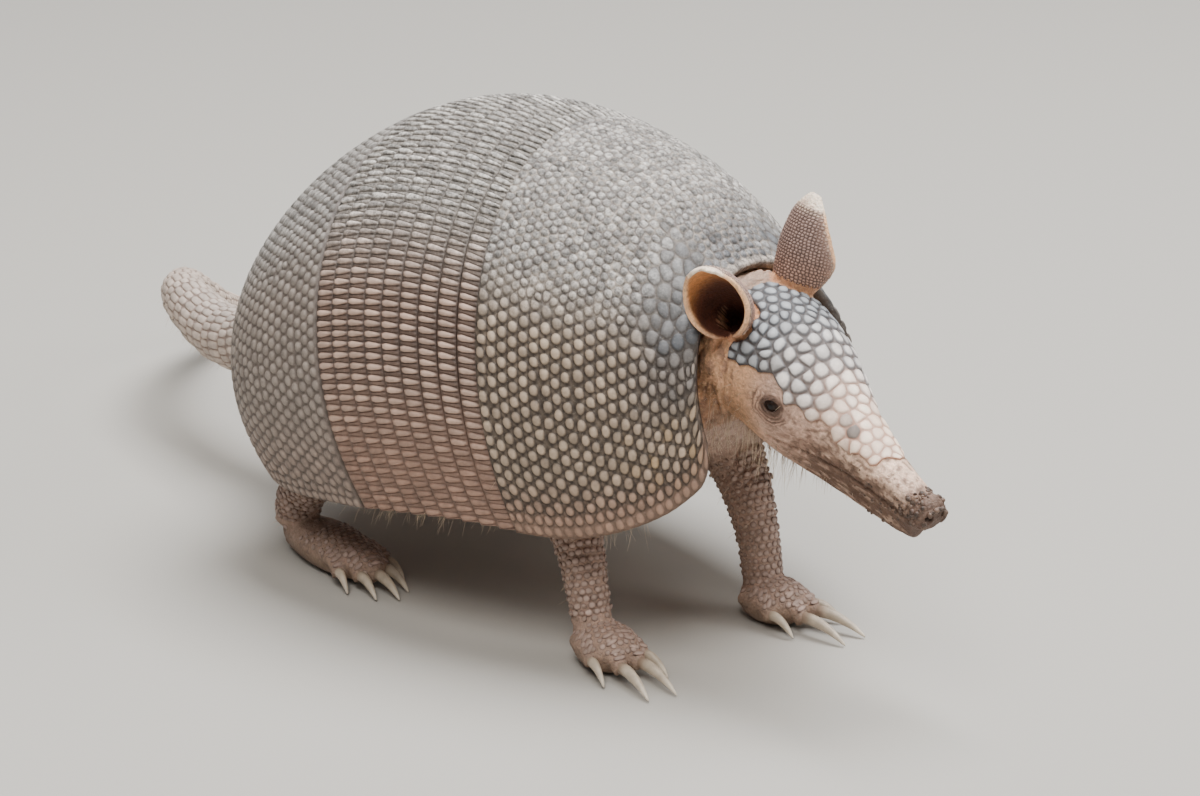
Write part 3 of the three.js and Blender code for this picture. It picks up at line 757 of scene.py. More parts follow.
def tail_hoops(number):
    """The rings of one length of the tail, each a closed hoop with two rows of scales."""
    chance = np.random.default_rng(70 + number)
    cells, corners = [], []
    for ring in range(TAIL_LENGTHS[number], TAIL_LENGTHS[number + 1]):
        ends = [(ring + part) * TAIL_RINGS_TO / TAIL_RINGS for part in (0, 0.42 * RING_LENGTH, RING_LENGTH)]
        around = max(9, round(2 * math.pi * value_at(TAIL_RADIUS, ends[0]) / TAIL_SCALE))
        for row, (front, rear) in enumerate(zip(ends, ends[1:])):
            turns = np.linspace(-math.pi, math.pi, around + 1) + (0 if row else math.pi / around)
            for i in range(around):
                spots = [(front, turns[i]), (front, turns[i + 1]), (rear, turns[i + 1]), (rear, turns[i])]
                if row:
                    spots.insert(1, (front, (turns[i] + turns[i + 1]) / 2))
                else:
                    spots.insert(3, (rear, (turns[i] + turns[i + 1]) / 2))
                cells.append(list(range(len(corners), len(corners) + 5)))
                corners += [(np.interp(share, tail_marks, tail_flat), turn) for share, turn in spots]
    rings = TAIL_RINGS / TAIL_RINGS_TO

    def place(flat, lift):
        share = np.interp(flat[:, 0], tail_flat, tail_marks)
        along = np.clip(np.modf(share * rings + 1e-6)[0] / RING_LENGTH, 0, 1)
        return on_tail(share, flat[:, 1], np.where(lift < -0.001, lift, lift - 0.0004 + RING_STEP * along))

    def scale(middle, i):
        return tail_scale(middle, chance, *RING_SCALE_FORM)

    return plated(f"tail_rings_{number + 1}", cells, np.array(corners), place, scale, RING_THICK)


tail_horn = horn("tail_horn", grain=1500, roughness=0.6, mottle=0.16, dirt=0.25, coat=0.05)
for number in range(len(TAIL_LENGTHS) - 1):
    hoops = tail_hoops(number)
    hoops.data.materials.append(tail_horn)
    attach(hoops, "root")
    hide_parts(f"tail_{number + 1}")

tip_chance = np.random.default_rng(81)
tip_rows, share = [], TAIL_RINGS_TO
while share < 0.995:
    radius = float(value_at(TAIL_RADIUS, share))
    pitch = max(0.0016, min(0.003, radius * 0.62))
    around = max(5, round(2 * math.pi * radius / pitch))
    for i in range(around):
        turn = -math.pi + 2 * math.pi * (i + 0.5 * (len(tip_rows) % 2)) / around
        tip_rows.append((np.interp(share, tail_marks, tail_flat) + tip_chance.uniform(-0.05, 0.05), turn))
    share += pitch * 0.95 / TAIL_WHOLE
tip_seeds = np.array(tip_rows)
tip_from, tip_to = np.interp(TAIL_RINGS_TO + 0.001, tail_marks, tail_flat), tail_flat[-1]


def tip_neighbours(seeds):
    """The same seeds once more on either side, as the tail is round, and mirrored at its two ends."""
    wide = np.vstack([seeds + (0, 2 * math.pi), seeds - (0, 2 * math.pi)])
    wide = wide[np.abs(wide[:, 1]) < 1.6 * math.pi]
    every = np.vstack([seeds, wide])
    front = every[every[:, 0] < tip_from + 1] * (-1, 1) + (2 * tip_from, 0)
    rear = every[every[:, 0] > tip_to - 1] * (-1, 1) + (2 * tip_to, 0)
    return np.vstack([wide, front, rear])


tip_cells, tip_corners = cells_between(tip_seeds, tip_neighbours(tip_seeds), joined=0.06)
tip_corners = np.clip(tip_corners, (tip_from, -9), (tip_to, 9))


def on_flat_tip(flat, lift):
    share = np.interp(flat[:, 0], tail_flat, tail_marks)
    radius = value_at(TAIL_RADIUS, share)
    return on_tail(share, flat[:, 1], np.maximum(lift, -0.45 * radius) - 0.0003)


def tip_scale(middle, i):
    return tail_scale(middle, tip_chance, *TIP_SCALE_FORM)


tail_tip = plated("tail_tip_scales", tip_cells, tip_corners, on_flat_tip, tip_scale, TIP_THICK)
tail_tip.data.materials.append(tail_horn)
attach(tail_tip, "root")
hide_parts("tail_tip")

# -------- the skin
# All the flesh in one skin without a seam: the trunk under the shell, neck, head and jaw, nose, ears,
# legs and feet, and the core of the tail. Its forms are joined, made one surface, smoothed where they
# meet, and then the lids, nostrils, mouth, folds and wrinkles are worked into it.
TRUNK_FROM = 0.13
TRUNK_TO = 0.97
TRUNK_DEPTH = SHELL_THICK + 0.0016
SHELL_ROUND = 0.76
BELLY_SAG = smooth_line((0, -0.030), (0.16, -0.012), (0.36, 0.005), (0.75, 0.008), (1, -0.006))
HEAD_AT = Vector((0.105, -0.002, 0.125))
HEAD_TURN = np.array(
    Matrix.Rotation(math.radians(-5), 3, "Z") @ Matrix.Rotation(math.radians(24), 3, "Y")
    @ Matrix.Rotation(math.radians(11), 3, "X"))
HEAD_HALF_WIDTH = smooth_line(
    (-0.014, 0.015), (0, 0.0205), (0.015, 0.0235), (0.030, 0.023), (0.042, 0.0205), (0.058, 0.014),
    (0.076, 0.0096), (0.092, 0.0072), (0.103, 0.006))
HEAD_TOP = smooth_line(
    (-0.014, 0.015), (0, 0.022), (0.015, 0.0245), (0.030, 0.0225), (0.042, 0.018), (0.058, 0.012),
    (0.076, 0.008), (0.092, 0.006), (0.103, 0.005))
HEAD_BOTTOM = smooth_line(
    (-0.014, 0.015), (0, 0.023), (0.015, 0.027), (0.030, 0.027), (0.042, 0.0275), (0.058, 0.0260),
    (0.076, 0.0230), (0.092, 0.0198), (0.103, 0.0160))
NOSE_HALF_SIZE = (0.0058, 0.0070, 0.0072)
NOSE_AT = (0.1045, 0, -0.0004)
EAR_AT = (0.0045, 0.0115, 0.0185)
EAR_LENGTH = 0.036
EAR_LEAN = {"right": (0.04, -0.60, 0.80), "left": (-0.28, 0.5, 0.84)}
EAR_FACES = {"right": (0.7, -0.6, -0.3), "left": (0, 1, 0.1)}
EAR_HALF_WIDTH = smooth_line(
    (0, 0.0064), (0.2, 0.0090), (0.5, 0.0110), (0.75, 0.0092), (0.92, 0.0052), (1, 0.0024))
EAR_WRAP = smooth_line((0, 178), (0.16, 172), (0.30, 142), (0.5, 100), (0.75, 70), (1, 52))
EAR_WALL = 0.0021
NECK_LINE = smooth_line((0.078, 0, 0.112), (0.098, 0, 0.118), (0.118, -0.003, 0.121))
NECK_HALF = 0.0262
FORELEG = {
    "right": smooth_line(
        (0.040, -0.036, 0.078), (0.054, -0.041, 0.054), (0.066, -0.046, 0.034), (0.073, -0.048, 0.012)),
    "left": smooth_line(
        (0.054, 0.030, 0.080), (0.072, 0.031, 0.054), (0.083, 0.029, 0.033), (0.088, 0.028, 0.012)),
}
HINDLEG = {
    "right": smooth_line(
        (-0.040, -0.048, 0.064), (-0.062, -0.053, 0.046), (-0.082, -0.054, 0.028), (-0.088, -0.054, 0.012)),
    "left": smooth_line(
        (-0.056, 0.044, 0.066), (-0.076, 0.048, 0.046), (-0.095, 0.050, 0.028), (-0.100, 0.050, 0.012)),
}
# The feet: each one's middle, and how it is turned.
FOREPAW = {
    "right": ((0.082, -0.050, 0.008), math.radians(-12)), "left": ((0.095, 0.027, 0.008), math.radians(6))}
HINDFOOT = {
    "right": ((-0.064, -0.055, 0.008), math.radians(-9)), "left": ((-0.076, 0.051, 0.008), math.radians(9))}
FORELEG_THICK = smooth_line((0, 0.015), (0.45, 0.0106), (0.75, 0.0084), (1, 0.0078))
HINDLEG_THICK = smooth_line((0, 0.019), (0.4, 0.014), (0.75, 0.010), (1, 0.0084))
FOREPAW_HALF_SIZE = (0.015, 0.012, 0.0093)
HINDFOOT_HALF_SIZE = (0.033, 0.012, 0.0093)
# Toes: (to the side, ahead, reach, radius, claw), from the inner one outward on the left feet.
FORE_TOES = ((0.0085, 0.003, 0.008, 0.0034, 0.012), (0.0034, 0.006, 0.011, 0.0040, 0.021),
             (-0.0036, 0.006, 0.011, 0.0040, 0.020), (-0.0090, -0.002, 0.008, 0.0034, 0.012))
HIND_TOES = ((0.0095, 0.014, 0.008, 0.0033, 0.009), (0.0050, 0.019, 0.010, 0.0037, 0.013),
             (0, 0.021, 0.011, 0.0040, 0.015), (-0.0050, 0.019, 0.010, 0.0037, 0.013),
             (-0.0095, 0.013, 0.008, 0.0033, 0.009))
TOE_SPLAY = 20
TAIL_CORE_TO = 0.72
TAIL_CORE_DEPTH = 0.0017
SKIN_INSET = 0.0003
SKIN_VOXEL = 0.00085
SKIN_FACES = 190000


def lofted(name, rings):
    """A closed form through rings of points, each end drawn in to its middle."""
    steps, around = rings.shape[:2]
    points = np.vstack([rings.reshape(-1, 3), rings[0].mean(0), rings[-1].mean(0)])
    faces = []
    for i in range(around):
        k = (i + 1) % around
        for j in range(steps - 1):
            faces.append((j * around + i, j * around + k, (j + 1) * around + k, (j + 1) * around + i))
        faces.append((steps * around, k, i))
        faces.append((steps * around + 1, (steps - 1) * around + i, (steps - 1) * around + k))
    mesh = bpy.data.meshes.new(name)
    mesh.from_pydata(points.tolist(), [], faces)
    return closed_piece(name, mesh)


def turns(around):
    return np.linspace(-math.pi, math.pi, around, endpoint=False)


def limb_rings(line, steps, around, half_width, half_height=None):
    """Rings square to a line, as wide and high as half_width(share) and half_height(share) say."""
    half_height = half_height or half_width
    share = np.linspace(0, 1, steps)
    ahead = directions(point_on(line, share + 0.01) - point_on(line, share - 0.01))
    aside = np.stack([-ahead[:, 1], ahead[:, 0], np.zeros(steps)], -1)
    aside[np.linalg.norm(aside, axis=1) < 0.05] = (0, 1, 0)
    aside = directions(aside)
    over = np.cross(ahead, aside)
    angle = turns(around)
    wide = (half_width(share)[:, None] * np.sin(angle))[:, :, None]
    high = (half_height(share)[:, None] * np.cos(angle))[:, :, None]
    return point_on(line, share)[:, None] + aside[:, None] * wide + over[:, None] * high


def ball_rings(centre, half_size, steps=24, around=32):
    tilt = np.linspace(0.04, math.pi - 0.04, steps)[:, None]
    angle = turns(around)[None]
    unit = np.stack([
        np.cos(tilt) + 0 * angle, np.sin(tilt) * np.sin(angle), np.sin(tilt) * np.cos(angle)], -1)
    return np.array(centre) + unit * np.array(half_size)


def from_head(points):
    """Places in the head's own frame, x along the snout and z out of the crown, set in the body."""
    return np.asarray(points) @ HEAD_TURN.T + np.array(HEAD_AT + home)


def to_head(points):
    return (np.asarray(points) - np.array(HEAD_AT + home)) @ HEAD_TURN


def on_head(x, angle, lift):
    """Points of the head: angle 0 is the crown, positive to its left, lift stands off the surface."""
    x, angle, lift = np.broadcast_arrays(x, angle, lift)
    high = np.where(np.cos(angle) > 0, value_at(HEAD_TOP, x), value_at(HEAD_BOTTOM, x))
    return from_head(np.stack([
        x, (value_at(HEAD_HALF_WIDTH, x) + lift) * np.sin(angle), (high + lift) * np.cos(angle)], -1))


def trunk_rings(steps, around):
    rings, round_to = [], SHELL_ROUND * math.pi
    angle = turns(around)
    on_side = np.abs(angle) <= round_to
    for share in np.linspace(0, 1, steps):
        u = TRUNK_FROM + (TRUNK_TO - TRUNK_FROM) * share
        v = np.clip(angle / round_to, -1, 1)
        ring = on_shell(np.full(around, u), v, np.full(around, -TRUNK_DEPTH))
        across = np.where(on_side, 1, (math.pi - np.abs(angle)) / (math.pi - round_to))
        belly = ring.copy()
        belly[:, 1] = home.y + (ring[:, 1] - home.y) * across
        belly[:, 2] -= (value_at(BELLY_SAG, share) - SKIN_INSET) * np.sqrt(np.clip(1 - across**2, 0, 1))
        ring[~on_side] = belly[~on_side]
        rings.append(ring)
    # Each end is rounded off by two smaller rings.
    first, last = rings[0], rings[-1]
    front = [first.mean(0) + (first - first.mean(0)) * 0.6 + (0.010, 0, 0)]
    rear = [last.mean(0) + (last - last.mean(0)) * 0.6 - (0.006, 0, 0)]
    return np.array(front + rings + rear)


def ear_frame(side):
    """An ear's root, and the ways it leans, opens and spreads."""
    lean = Vector(EAR_LEAN[side]).normalized()
    opens = Vector(EAR_FACES[side])
    opens = (opens - lean * opens.dot(lean)).normalized()
    sign = 1 if side == "left" else -1
    root = (EAR_AT[0], sign * EAR_AT[1], EAR_AT[2])
    return [np.array(v) for v in (root, lean, opens, lean.cross(opens))]


def ear_wrap(share):
    return np.radians(value_at(EAR_WRAP, share))


def ear_radius(share):
    return value_at(EAR_HALF_WIDTH, share) / np.sin(np.minimum(ear_wrap(share), math.pi / 2))


def on_ear(side, share, angle, lift):
    """Points of an ear: angle 0 is the middle of its back, lift stands out from the middle of its wall."""
    root, lean, opens, aside = ear_frame(side)
    share, angle, lift = (a[..., None] for a in np.broadcast_arrays(share, angle, lift))
    radius = ear_radius(share)
    across = radius + lift
    return from_head(root + lean * (EAR_LENGTH * share) + aside * (across * np.sin(angle))
                     + opens * (radius * 0.5 - across * np.cos(angle)))


def ear_rings(side):
    """An ear's leaf: rings round its thin wall from base to tip, rolled tightest at the base."""
    share = np.linspace(0, 1, 44)[:, None]
    reach = np.linspace(-1, 1, 30)
    trip = np.concatenate([reach, reach[::-1]])[None]
    wall = EAR_WALL * (1 - 0.25 * share) * (1 + 0.4 * trip**4)
    wall = wall * np.sqrt(np.clip(1.02 - np.abs(trip) ** 12, 0.02, 1))
    side_of = np.repeat((-1.0, 1.0), len(reach))[None]
    return on_ear(side, share, trip * ear_wrap(share), side_of * wall / 2)


def on_foot(foot, ahead, side, up):
    (x, y, z), turn = foot
    return np.array(home) + np.array((
        x + ahead * math.cos(turn) - side * math.sin(turn),
        y + ahead * math.sin(turn) + side * math.cos(turn), z + up))


def toe_line(foot, toe):
    side, ahead, reach = toe[:3]
    marks = ((-0.008, 0.001), (0, 0.0015), (reach * 0.7, -0.0005), (reach, -0.0034))
    return smooth_line(*(on_foot(foot, ahead + on, side * (1 + on * TOE_SPLAY), up) for on, up in marks))


head_marks = np.concatenate([np.linspace(-0.014, 0.1, 90), [0.1015, 0.103]])
core_share, core_turn = np.meshgrid(np.linspace(0, TAIL_CORE_TO, 90), turns(24), indexing="ij")
core = on_tail(core_share.ravel(), core_turn.ravel(), np.full(core_share.size, -TAIL_CORE_DEPTH))
flesh = [
    lofted("trunk_form", trunk_rings(70, 120)),
    lofted("neck_form", limb_rings(NECK_LINE + np.array(home), 24, 72, lambda s: NECK_HALF + 0 * s)),
    lofted("head_form", on_head(head_marks[:, None], turns(72)[None], -SKIN_INSET)),
    lofted("nose_form", from_head(ball_rings(NOSE_AT, np.array(NOSE_HALF_SIZE) - 0.0002))),
    lofted("tail_core", core.reshape(*core_share.shape, 3)),
]
for side in ("right", "left"):
    flesh.append(lofted(f"ear_form_{side}", ear_rings(side)))
    for leg, thick, foot, pad, toes in (
            (FORELEG[side], FORELEG_THICK, FOREPAW[side], FOREPAW_HALF_SIZE, FORE_TOES),
            (HINDLEG[side], HINDLEG_THICK, HINDFOOT[side], HINDFOOT_HALF_SIZE, HIND_TOES)):
        flesh.append(lofted("leg_form", limb_rings(
            leg + np.array(home), 40, 36, lambda s, thick=thick: value_at(thick, s) - SKIN_INSET)))
        sole = ball_rings((0, 0, 0), np.array(pad) - SKIN_INSET)
        (x, y, z), turn = foot
        spin = np.array(Matrix.Rotation(turn, 3, "Z"))
        flesh.append(lofted("pad_form", sole @ spin.T + np.array(home) + (x, y, z)))
        for toe in toes:
            flesh.append(lofted("toe_form", limb_rings(
                toe_line(foot, toe), 14, 20, lambda s, r=toe[3]: r * (1 - 0.14 * s) - SKIN_INSET)))

bpy.ops.object.select_all(action="DESELECT")
for form in flesh:
    form.select_set(True)
bpy.context.view_layer.objects.active = flesh[0]
bpy.ops.object.join()
skin = bpy.context.object
skin.name = "skin"
remesh = skin.modifiers.new("one_surface", "REMESH")
remesh.mode = "VOXEL"
remesh.voxel_size = SKIN_VOXEL
bpy.ops.object.modifier_apply(modifier=remesh.name)

# The mesh is made finer where the detail is: once on the snout and ears, twice more round the eyes.
EYE_AT = (0.0385, 0.0176, 0.0042)
EYE_AXIS = (0.46, 0.85, 0.24)
EYE_RADIUS = 0.0034
EYE_HALF_OPEN = (0.0027, 0.0023)
EYE_SLANT = math.radians(-12)
# The lids' section: how far each place from the eye's middle stands out along its axis.
LID_SECTION = smooth_line(
    (0.0016, 0.0038), (0.0022, 0.0034), (0.0028, 0.0029), (0.0034, 0.0024), (0.0042, 0.0017),
    (0.0052, 0.0006), (0.0070, -0.002))
LID_FOLDS_FROM = 0.0042
LID_FOLD_STEP = 0.0016
LID_FOLD_HEIGHT = 0.00036
MOUTH_LINE = smooth_line((0.036, -0.0105), (0.060, -0.0070), (0.085, -0.0046), (0.112, -0.0040))
LIP_GROOVE = 0.0011
LIP_SWELL = 0.0004
SNOUT_FOLD_STEP = 0.0023
SNOUT_FOLD_HEIGHT = 0.00034
NOSE_FRONT = 0.1090
NOSTRIL_AT = (NOSE_FRONT + 0.0005, 0.0031, 0.0012)
NOSTRIL_RADIUS = 0.00125
NECK_FOLD_STEP = 0.0048
NECK_FOLD_HEIGHT = 0.0008
FINE_FOLD_STEP = 0.0019
LEG_FOLD_STEP = 0.0042
LEG_FOLD_HEIGHT = 0.00028


def rows_of(items, name, width=3):
    """This value of each item, a row for each."""
    values = np.empty(len(items) * width)
    items.foreach_get(name, values)
    return values.reshape(-1, width)


def skin_points():
    return rows_of(skin.data.vertices, "co")


def set_skin_points(spots):
    skin.data.vertices.foreach_set("co", spots.astype(np.float32).ravel())
    skin.data.update()


def eye_frame(sign):
    """An eye's middle, the way it looks, and the two ways across its opening, forward and up."""
    axis = Vector(EYE_AXIS).normalized()
    ahead = (Vector((1, 0, 0)) - axis * axis.x).normalized()
    above = ahead.cross(axis) * -1
    turned = ahead * math.cos(EYE_SLANT) + above * math.sin(EYE_SLANT)
    raised = above * math.cos(EYE_SLANT) - ahead * math.sin(EYE_SLANT)
    return [np.array((v[0], v[1] * sign, v[2])) for v in (EYE_AT, axis, turned, raised)]


def eye_places(local):
    """For each place, from the nearer eye: its spread (1 at the rim of the opening), ahead, above, out."""
    told = np.full((len(local), 4), 99.0)
    for sign in (-1, 1):
        middle, axis, turned, raised = eye_frame(sign)
        away = local - middle
        near = np.linalg.norm(away, axis=1) < 0.016
        ahead, above = away[near] @ turned, away[near] @ raised
        told[near] = np.stack([np.hypot(ahead / EYE_HALF_OPEN[0], above / EYE_HALF_OPEN[1]),
                               ahead, above, away[near] @ axis], -1)
    return told.T


def refine_where(chosen):
    """Cuts the faces whose middles are chosen into four."""
    marks = chosen(to_head(rows_of(skin.data.polygons, "center")))
    bpy.ops.object.mode_set(mode="EDIT")
    bpy.ops.mesh.select_mode(type="FACE")
    bpy.ops.mesh.select_all(action="DESELECT")
    bpy.ops.object.mode_set(mode="OBJECT")
    skin.data.polygons.foreach_set("select", marks)
    bpy.ops.object.mode_set(mode="EDIT")
    bpy.ops.mesh.subdivide(number_cuts=1, smoothness=0)
    bpy.ops.object.mode_set(mode="OBJECT")


def smoothed(spots, weight, rounds):
    """Draws each point toward the middle of its neighbours, more where the weight is more."""
    ends = np.empty(len(skin.data.edges) * 2, np.int32)
    skin.data.edges.foreach_get("vertices", ends)
    a, b = ends.reshape(-1, 2).T
    count = np.bincount(a, minlength=len(spots)) + np.bincount(b, minlength=len(spots))
    for _ in range(rounds):
        total = np.stack([
            np.bincount(a, spots[b, k], len(spots)) + np.bincount(b, spots[a, k], len(spots))
            for k in range(3)], -1)
        spots = spots + (total / count[:, None] - spots) * (0.5 * weight)[:, None]
    return spots


def in_ear_tube(local, side):
    """How far up an ear's tube a place is, how far from the tube's middle line, and the tube's radius."""
    root, lean, opens, _ = ear_frame(side)
    out = local - root
    up = out @ lean
    radius = ear_radius(np.clip(up / EAR_LENGTH, 0, 1))
    off = out - up[:, None] * lean - opens * (radius * 0.5)[:, None]
    return up, np.linalg.norm(off, axis=1), radius


def ear_hollow(local, side):
    """How far a place inside an ear's tube stands above the tube's floor: 0 at its wall and beyond."""
    up, off, radius = in_ear_tube(local, side)
    near = off / (radius - EAR_WALL / 2)
    return (up + 0.011) * (1 - ramp(near, 0.80, 0.94)) * (up > -0.010) * (up < EAR_LENGTH * 0.45)


def ear_share(local):
    """How far up its ear a place is, from 0 at the base to 1 at the tip, and below 0 off the ears."""
    share = np.full(len(local), -1.0)
    for side in ("right", "left"):
        up, off, radius = in_ear_tube(local, side)
        up = up / EAR_LENGTH
        on = (up > 0.02) & (up < 1.1) & (off < radius + 0.0025)
        share[on] = up[on]
    return share


def wander(spots, size, seed):
    """Soft random values near 0 that change over this size."""
    return np.array([noise.noise(Vector(p)) for p in spots / size + seed])


def lid_folds(local, reach):
    """The loose folds round an eye at this reach from its middle: 1 on a fold and -1 between two."""
    crease = (reach - LID_FOLDS_FROM) / LID_FOLD_STEP
    crease = crease + 0.9 * wander(local, 0.0045, 12.0) + 0.3 * wander(local, 0.0016, 2.5)
    return np.cos(crease * 2 * math.pi)


spots = skin_points()
local = to_head(spots)
ear_part = ear_share(local)
near_head = ramp(local[:, 0], -0.04, -0.02) * (spots[:, 2] > 0.03)
joint = ramp(local[:, 0], -0.03, -0.01) * (1 - ramp(local[:, 0], 0.012, 0.03))
spots = smoothed(spots, np.where(ear_part > 0, 0.35, 0.9), 5)
spots = smoothed(spots, np.where(ear_part > 0, 0.0, joint), 30)
high_leg = ramp(spots[:, 2], 0.036, 0.05) * (1 - near_head)
spots = smoothed(spots, high_leg, 25)
set_skin_points(spots)
refine_where(lambda at: ((at[:, 0] > 0.026) & (at[:, 0] < 0.13)) | (ear_share(at) > 0))
refine_where(lambda at: (eye_places(at)[0] < 3.4) & (at[:, 0] > 0))
refine_where(lambda at: (eye_places(at)[0] < 1.9) & (at[:, 0] > 0))

spots = skin_points()
local = to_head(spots)
in_head = (local[:, 0] > 0.0) & (local[:, 0] < 0.13)
spots = smoothed(spots, in_head * 0.6 * (ear_share(local) < 0), 2)
local = to_head(spots)

# Each ear's tube goes down into the head.
for side in ("right", "left"):
    local -= ear_frame(side)[1] * ear_hollow(local, side)[:, None]

# The eyes: the skin is drawn in under each eyeball, and swells into lids and folds round it.
spread, ahead, above, out_from = eye_places(local)
near_eye = in_head & (spread < 5)
reach = np.hypot(ahead, above)
brow = ramp(above - 0.6 * ahead, -0.002, 0.0025)
lid = value_at(LID_SECTION, np.clip(reach, 0, 0.007)) + 0.0003 * brow
folds = lid_folds(local, reach) * ramp(reach, 0.0032, 0.0040)
folds = folds * (1 - ramp(reach, 0.0070, 0.0100)) * (0.75 + 0.8 * wander(local, 0.003, 1.5))
stand = np.maximum(out_from, lid) + 0.00005 + LID_FOLD_HEIGHT * folds * (0.45 + 0.55 * brow)
stand = stand + (-0.0012 - stand) * (1 - ramp(spread, 0.90, 1.03))
shift = (stand - out_from) * near_eye
for sign in (-1, 1):
    axis = eye_frame(sign)[1]
    this = near_eye & (np.sign(local[:, 1]) == sign)
    local[this] += shift[this, None] * axis

# The mouth: a line from its corner to the nose, with soft lips on both sides.
x, y, z = local.T
lip = z - value_at(MOUTH_LINE, x)
mouth = in_head * ramp(x, 0.034, 0.042) * (1 - ramp(x, 0.108, 0.112))
groove = LIP_GROOVE * np.exp(-(lip / 0.00055) ** 2)
swell = np.exp(-((lip - 0.0018) / 0.0012) ** 2) + np.exp(-((lip + 0.0019) / 0.0013) ** 2)
local[:, 1] -= np.sign(y) * mouth * groove
local[:, 1] += np.sign(y) * mouth * LIP_SWELL * swell
# Long wrinkles on the side of the snout, broken up.
drift = wander(local * (0.45, 1, 1), 0.009, 3.0)
snout = in_head * ramp(x, 0.040, 0.056) * (1 - ramp(x, 0.098, 0.106)) * (1 - ramp(z, 0.002, 0.006))
long_folds = np.cos(z * 2 * math.pi / SNOUT_FOLD_STEP + drift * 7) * (0.6 + 0.6 * wander(local, 0.006, 9.0))
local[:, 1] += np.sign(y) * SNOUT_FOLD_HEIGHT * snout * long_folds * (np.abs(lip) > 0.0009)

# The nose: a blunt disc with two nostrils that open forward and outward.
blunt = in_head & (local[:, 0] > NOSE_FRONT)
local[blunt, 0] = NOSE_FRONT + (local[blunt, 0] - NOSE_FRONT) * 0.35
for sign in (-1, 1):
    hole = np.linalg.norm((local - np.array(NOSTRIL_AT) * (1, sign, 1)) * (0.55, 1, 1.15), axis=1)
    sunk = in_head * np.exp(-(hole / NOSTRIL_RADIUS) ** 4)
    local += sunk[:, None] * np.array((-0.0026, -sign * 0.0008, 0.0002))
    rim = in_head * np.exp(-((hole - 0.0021) / 0.0006) ** 2)
    local += rim[:, None] * np.array((0.0004, sign * 0.0003, 0))

# Loose folds down the neck and behind the jaw, and small ones round the wrists and ankles.
out = rows_of(skin.data.vertices, "normal")
spots = from_head(local)
x, y, z = local.T
neck_part = ramp(x, -0.032, -0.022) * (1 - ramp(x, 0.016, 0.026))
neck_part *= (ear_share(local) < 0) & (spots[:, 2] > 0.05)
sag = wander(local * (1.2, 1, 0.5), 0.012, 5.0)
neck_folds = np.cos(x * 2 * math.pi / NECK_FOLD_STEP + sag * 9 + z * 60)
neck_folds *= 0.6 + 0.7 * wander(local, 0.010, 7.0)
neck_folds += 0.45 * np.cos(x * 2 * math.pi / FINE_FOLD_STEP + wander(local, 0.006, 8.0) * 8)
spots += out * (NECK_FOLD_HEIGHT * neck_part * neck_folds)[:, None]
low_leg = (1 - ramp(spots[:, 2], 0.040, 0.055)) * ramp(spots[:, 2], 0.009, 0.014) * (x < 0.02) * (z < -0.03)
leg_folds = np.cos(spots[:, 2] * 2 * math.pi / LEG_FOLD_STEP + wander(spots, 0.012, 1.5) * 6)
spots += out * (LEG_FOLD_HEIGHT * low_leg * leg_folds)[:, None]
spots[:, 2] = np.maximum(spots[:, 2], 0)
set_skin_points(spots)

# What the shell hides, and whatever is smooth, is made of fewer and larger faces.
coarse = skin.vertex_groups.new(name="coarse")
local = to_head(spots)
under_shell = (local[:, 0] < -0.03) & (spots[:, 2] > 0.062)
plain = (local[:, 0] < -0.03) & (spots[:, 2] > 0.04) & ~under_shell
close = eye_places(local)[0] < 5
everywhere = np.ones(len(spots), bool)
for chosen, weight in ((everywhere, 0.2), (under_shell, 1.0), (plain, 0.6), (close, 0.05)):
    coarse.add(np.flatnonzero(chosen).tolist(), weight, "REPLACE")
fewer = skin.modifiers.new("fewer", "DECIMATE")
fewer.ratio = SKIN_FACES / sum(len(p.vertices) - 2 for p in skin.data.polygons)
fewer.vertex_group = coarse.name
fewer.vertex_group_factor = 4
bpy.ops.object.modifier_apply(modifier=fewer.name)
skin.vertex_groups.clear()
skin.data.polygons.foreach_set("use_smooth", [True] * len(skin.data.polygons))

# The skin's colours: orange-tan on the neck, pink on the snout and cheeks, brown at the lips and nose,
# pinkish on the legs and belly; the ears are orange inside, brown behind, with a pale tip, a painted
# highlight along the rim and painted shade deep in their hollows.
TAN_NECK = (0.68, 0.385, 0.22)
PINK_CHEEK = (0.62, 0.41, 0.32)
PINK_SNOUT = (0.80, 0.55, 0.41)
BROWN_LIP = (0.125, 0.066, 0.042)
NOSE_BROWN = (0.10, 0.055, 0.038)
THROAT = (0.19, 0.11, 0.07)
NECK_DASH = (0.20, 0.12, 0.10)
NAPE = (0.26, 0.20, 0.17)
LEG_PINK = (0.34, 0.225, 0.17)
FOOT_LOW_TONE = (0.25, 0.17, 0.12)
BELLY_PINK = (0.40, 0.27, 0.21)
EAR_INSIDE = (0.74, 0.32, 0.11)
EAR_HOLLOW_SHADE = (0.10, 0.03, 0.015)
EAR_BACK = (0.42, 0.25, 0.19)
EAR_RIM_HIGHLIGHT = (0.88, 0.52, 0.29)
EAR_TIP = (0.95, 0.77, 0.60)
LID_BROWN_AND_CREASE_SHADE = (0.085, 0.045, 0.03)


def over(base, colour, share):
    share = np.asarray(share)[:, None]
    return base * (1 - share) + np.array(colour) * share


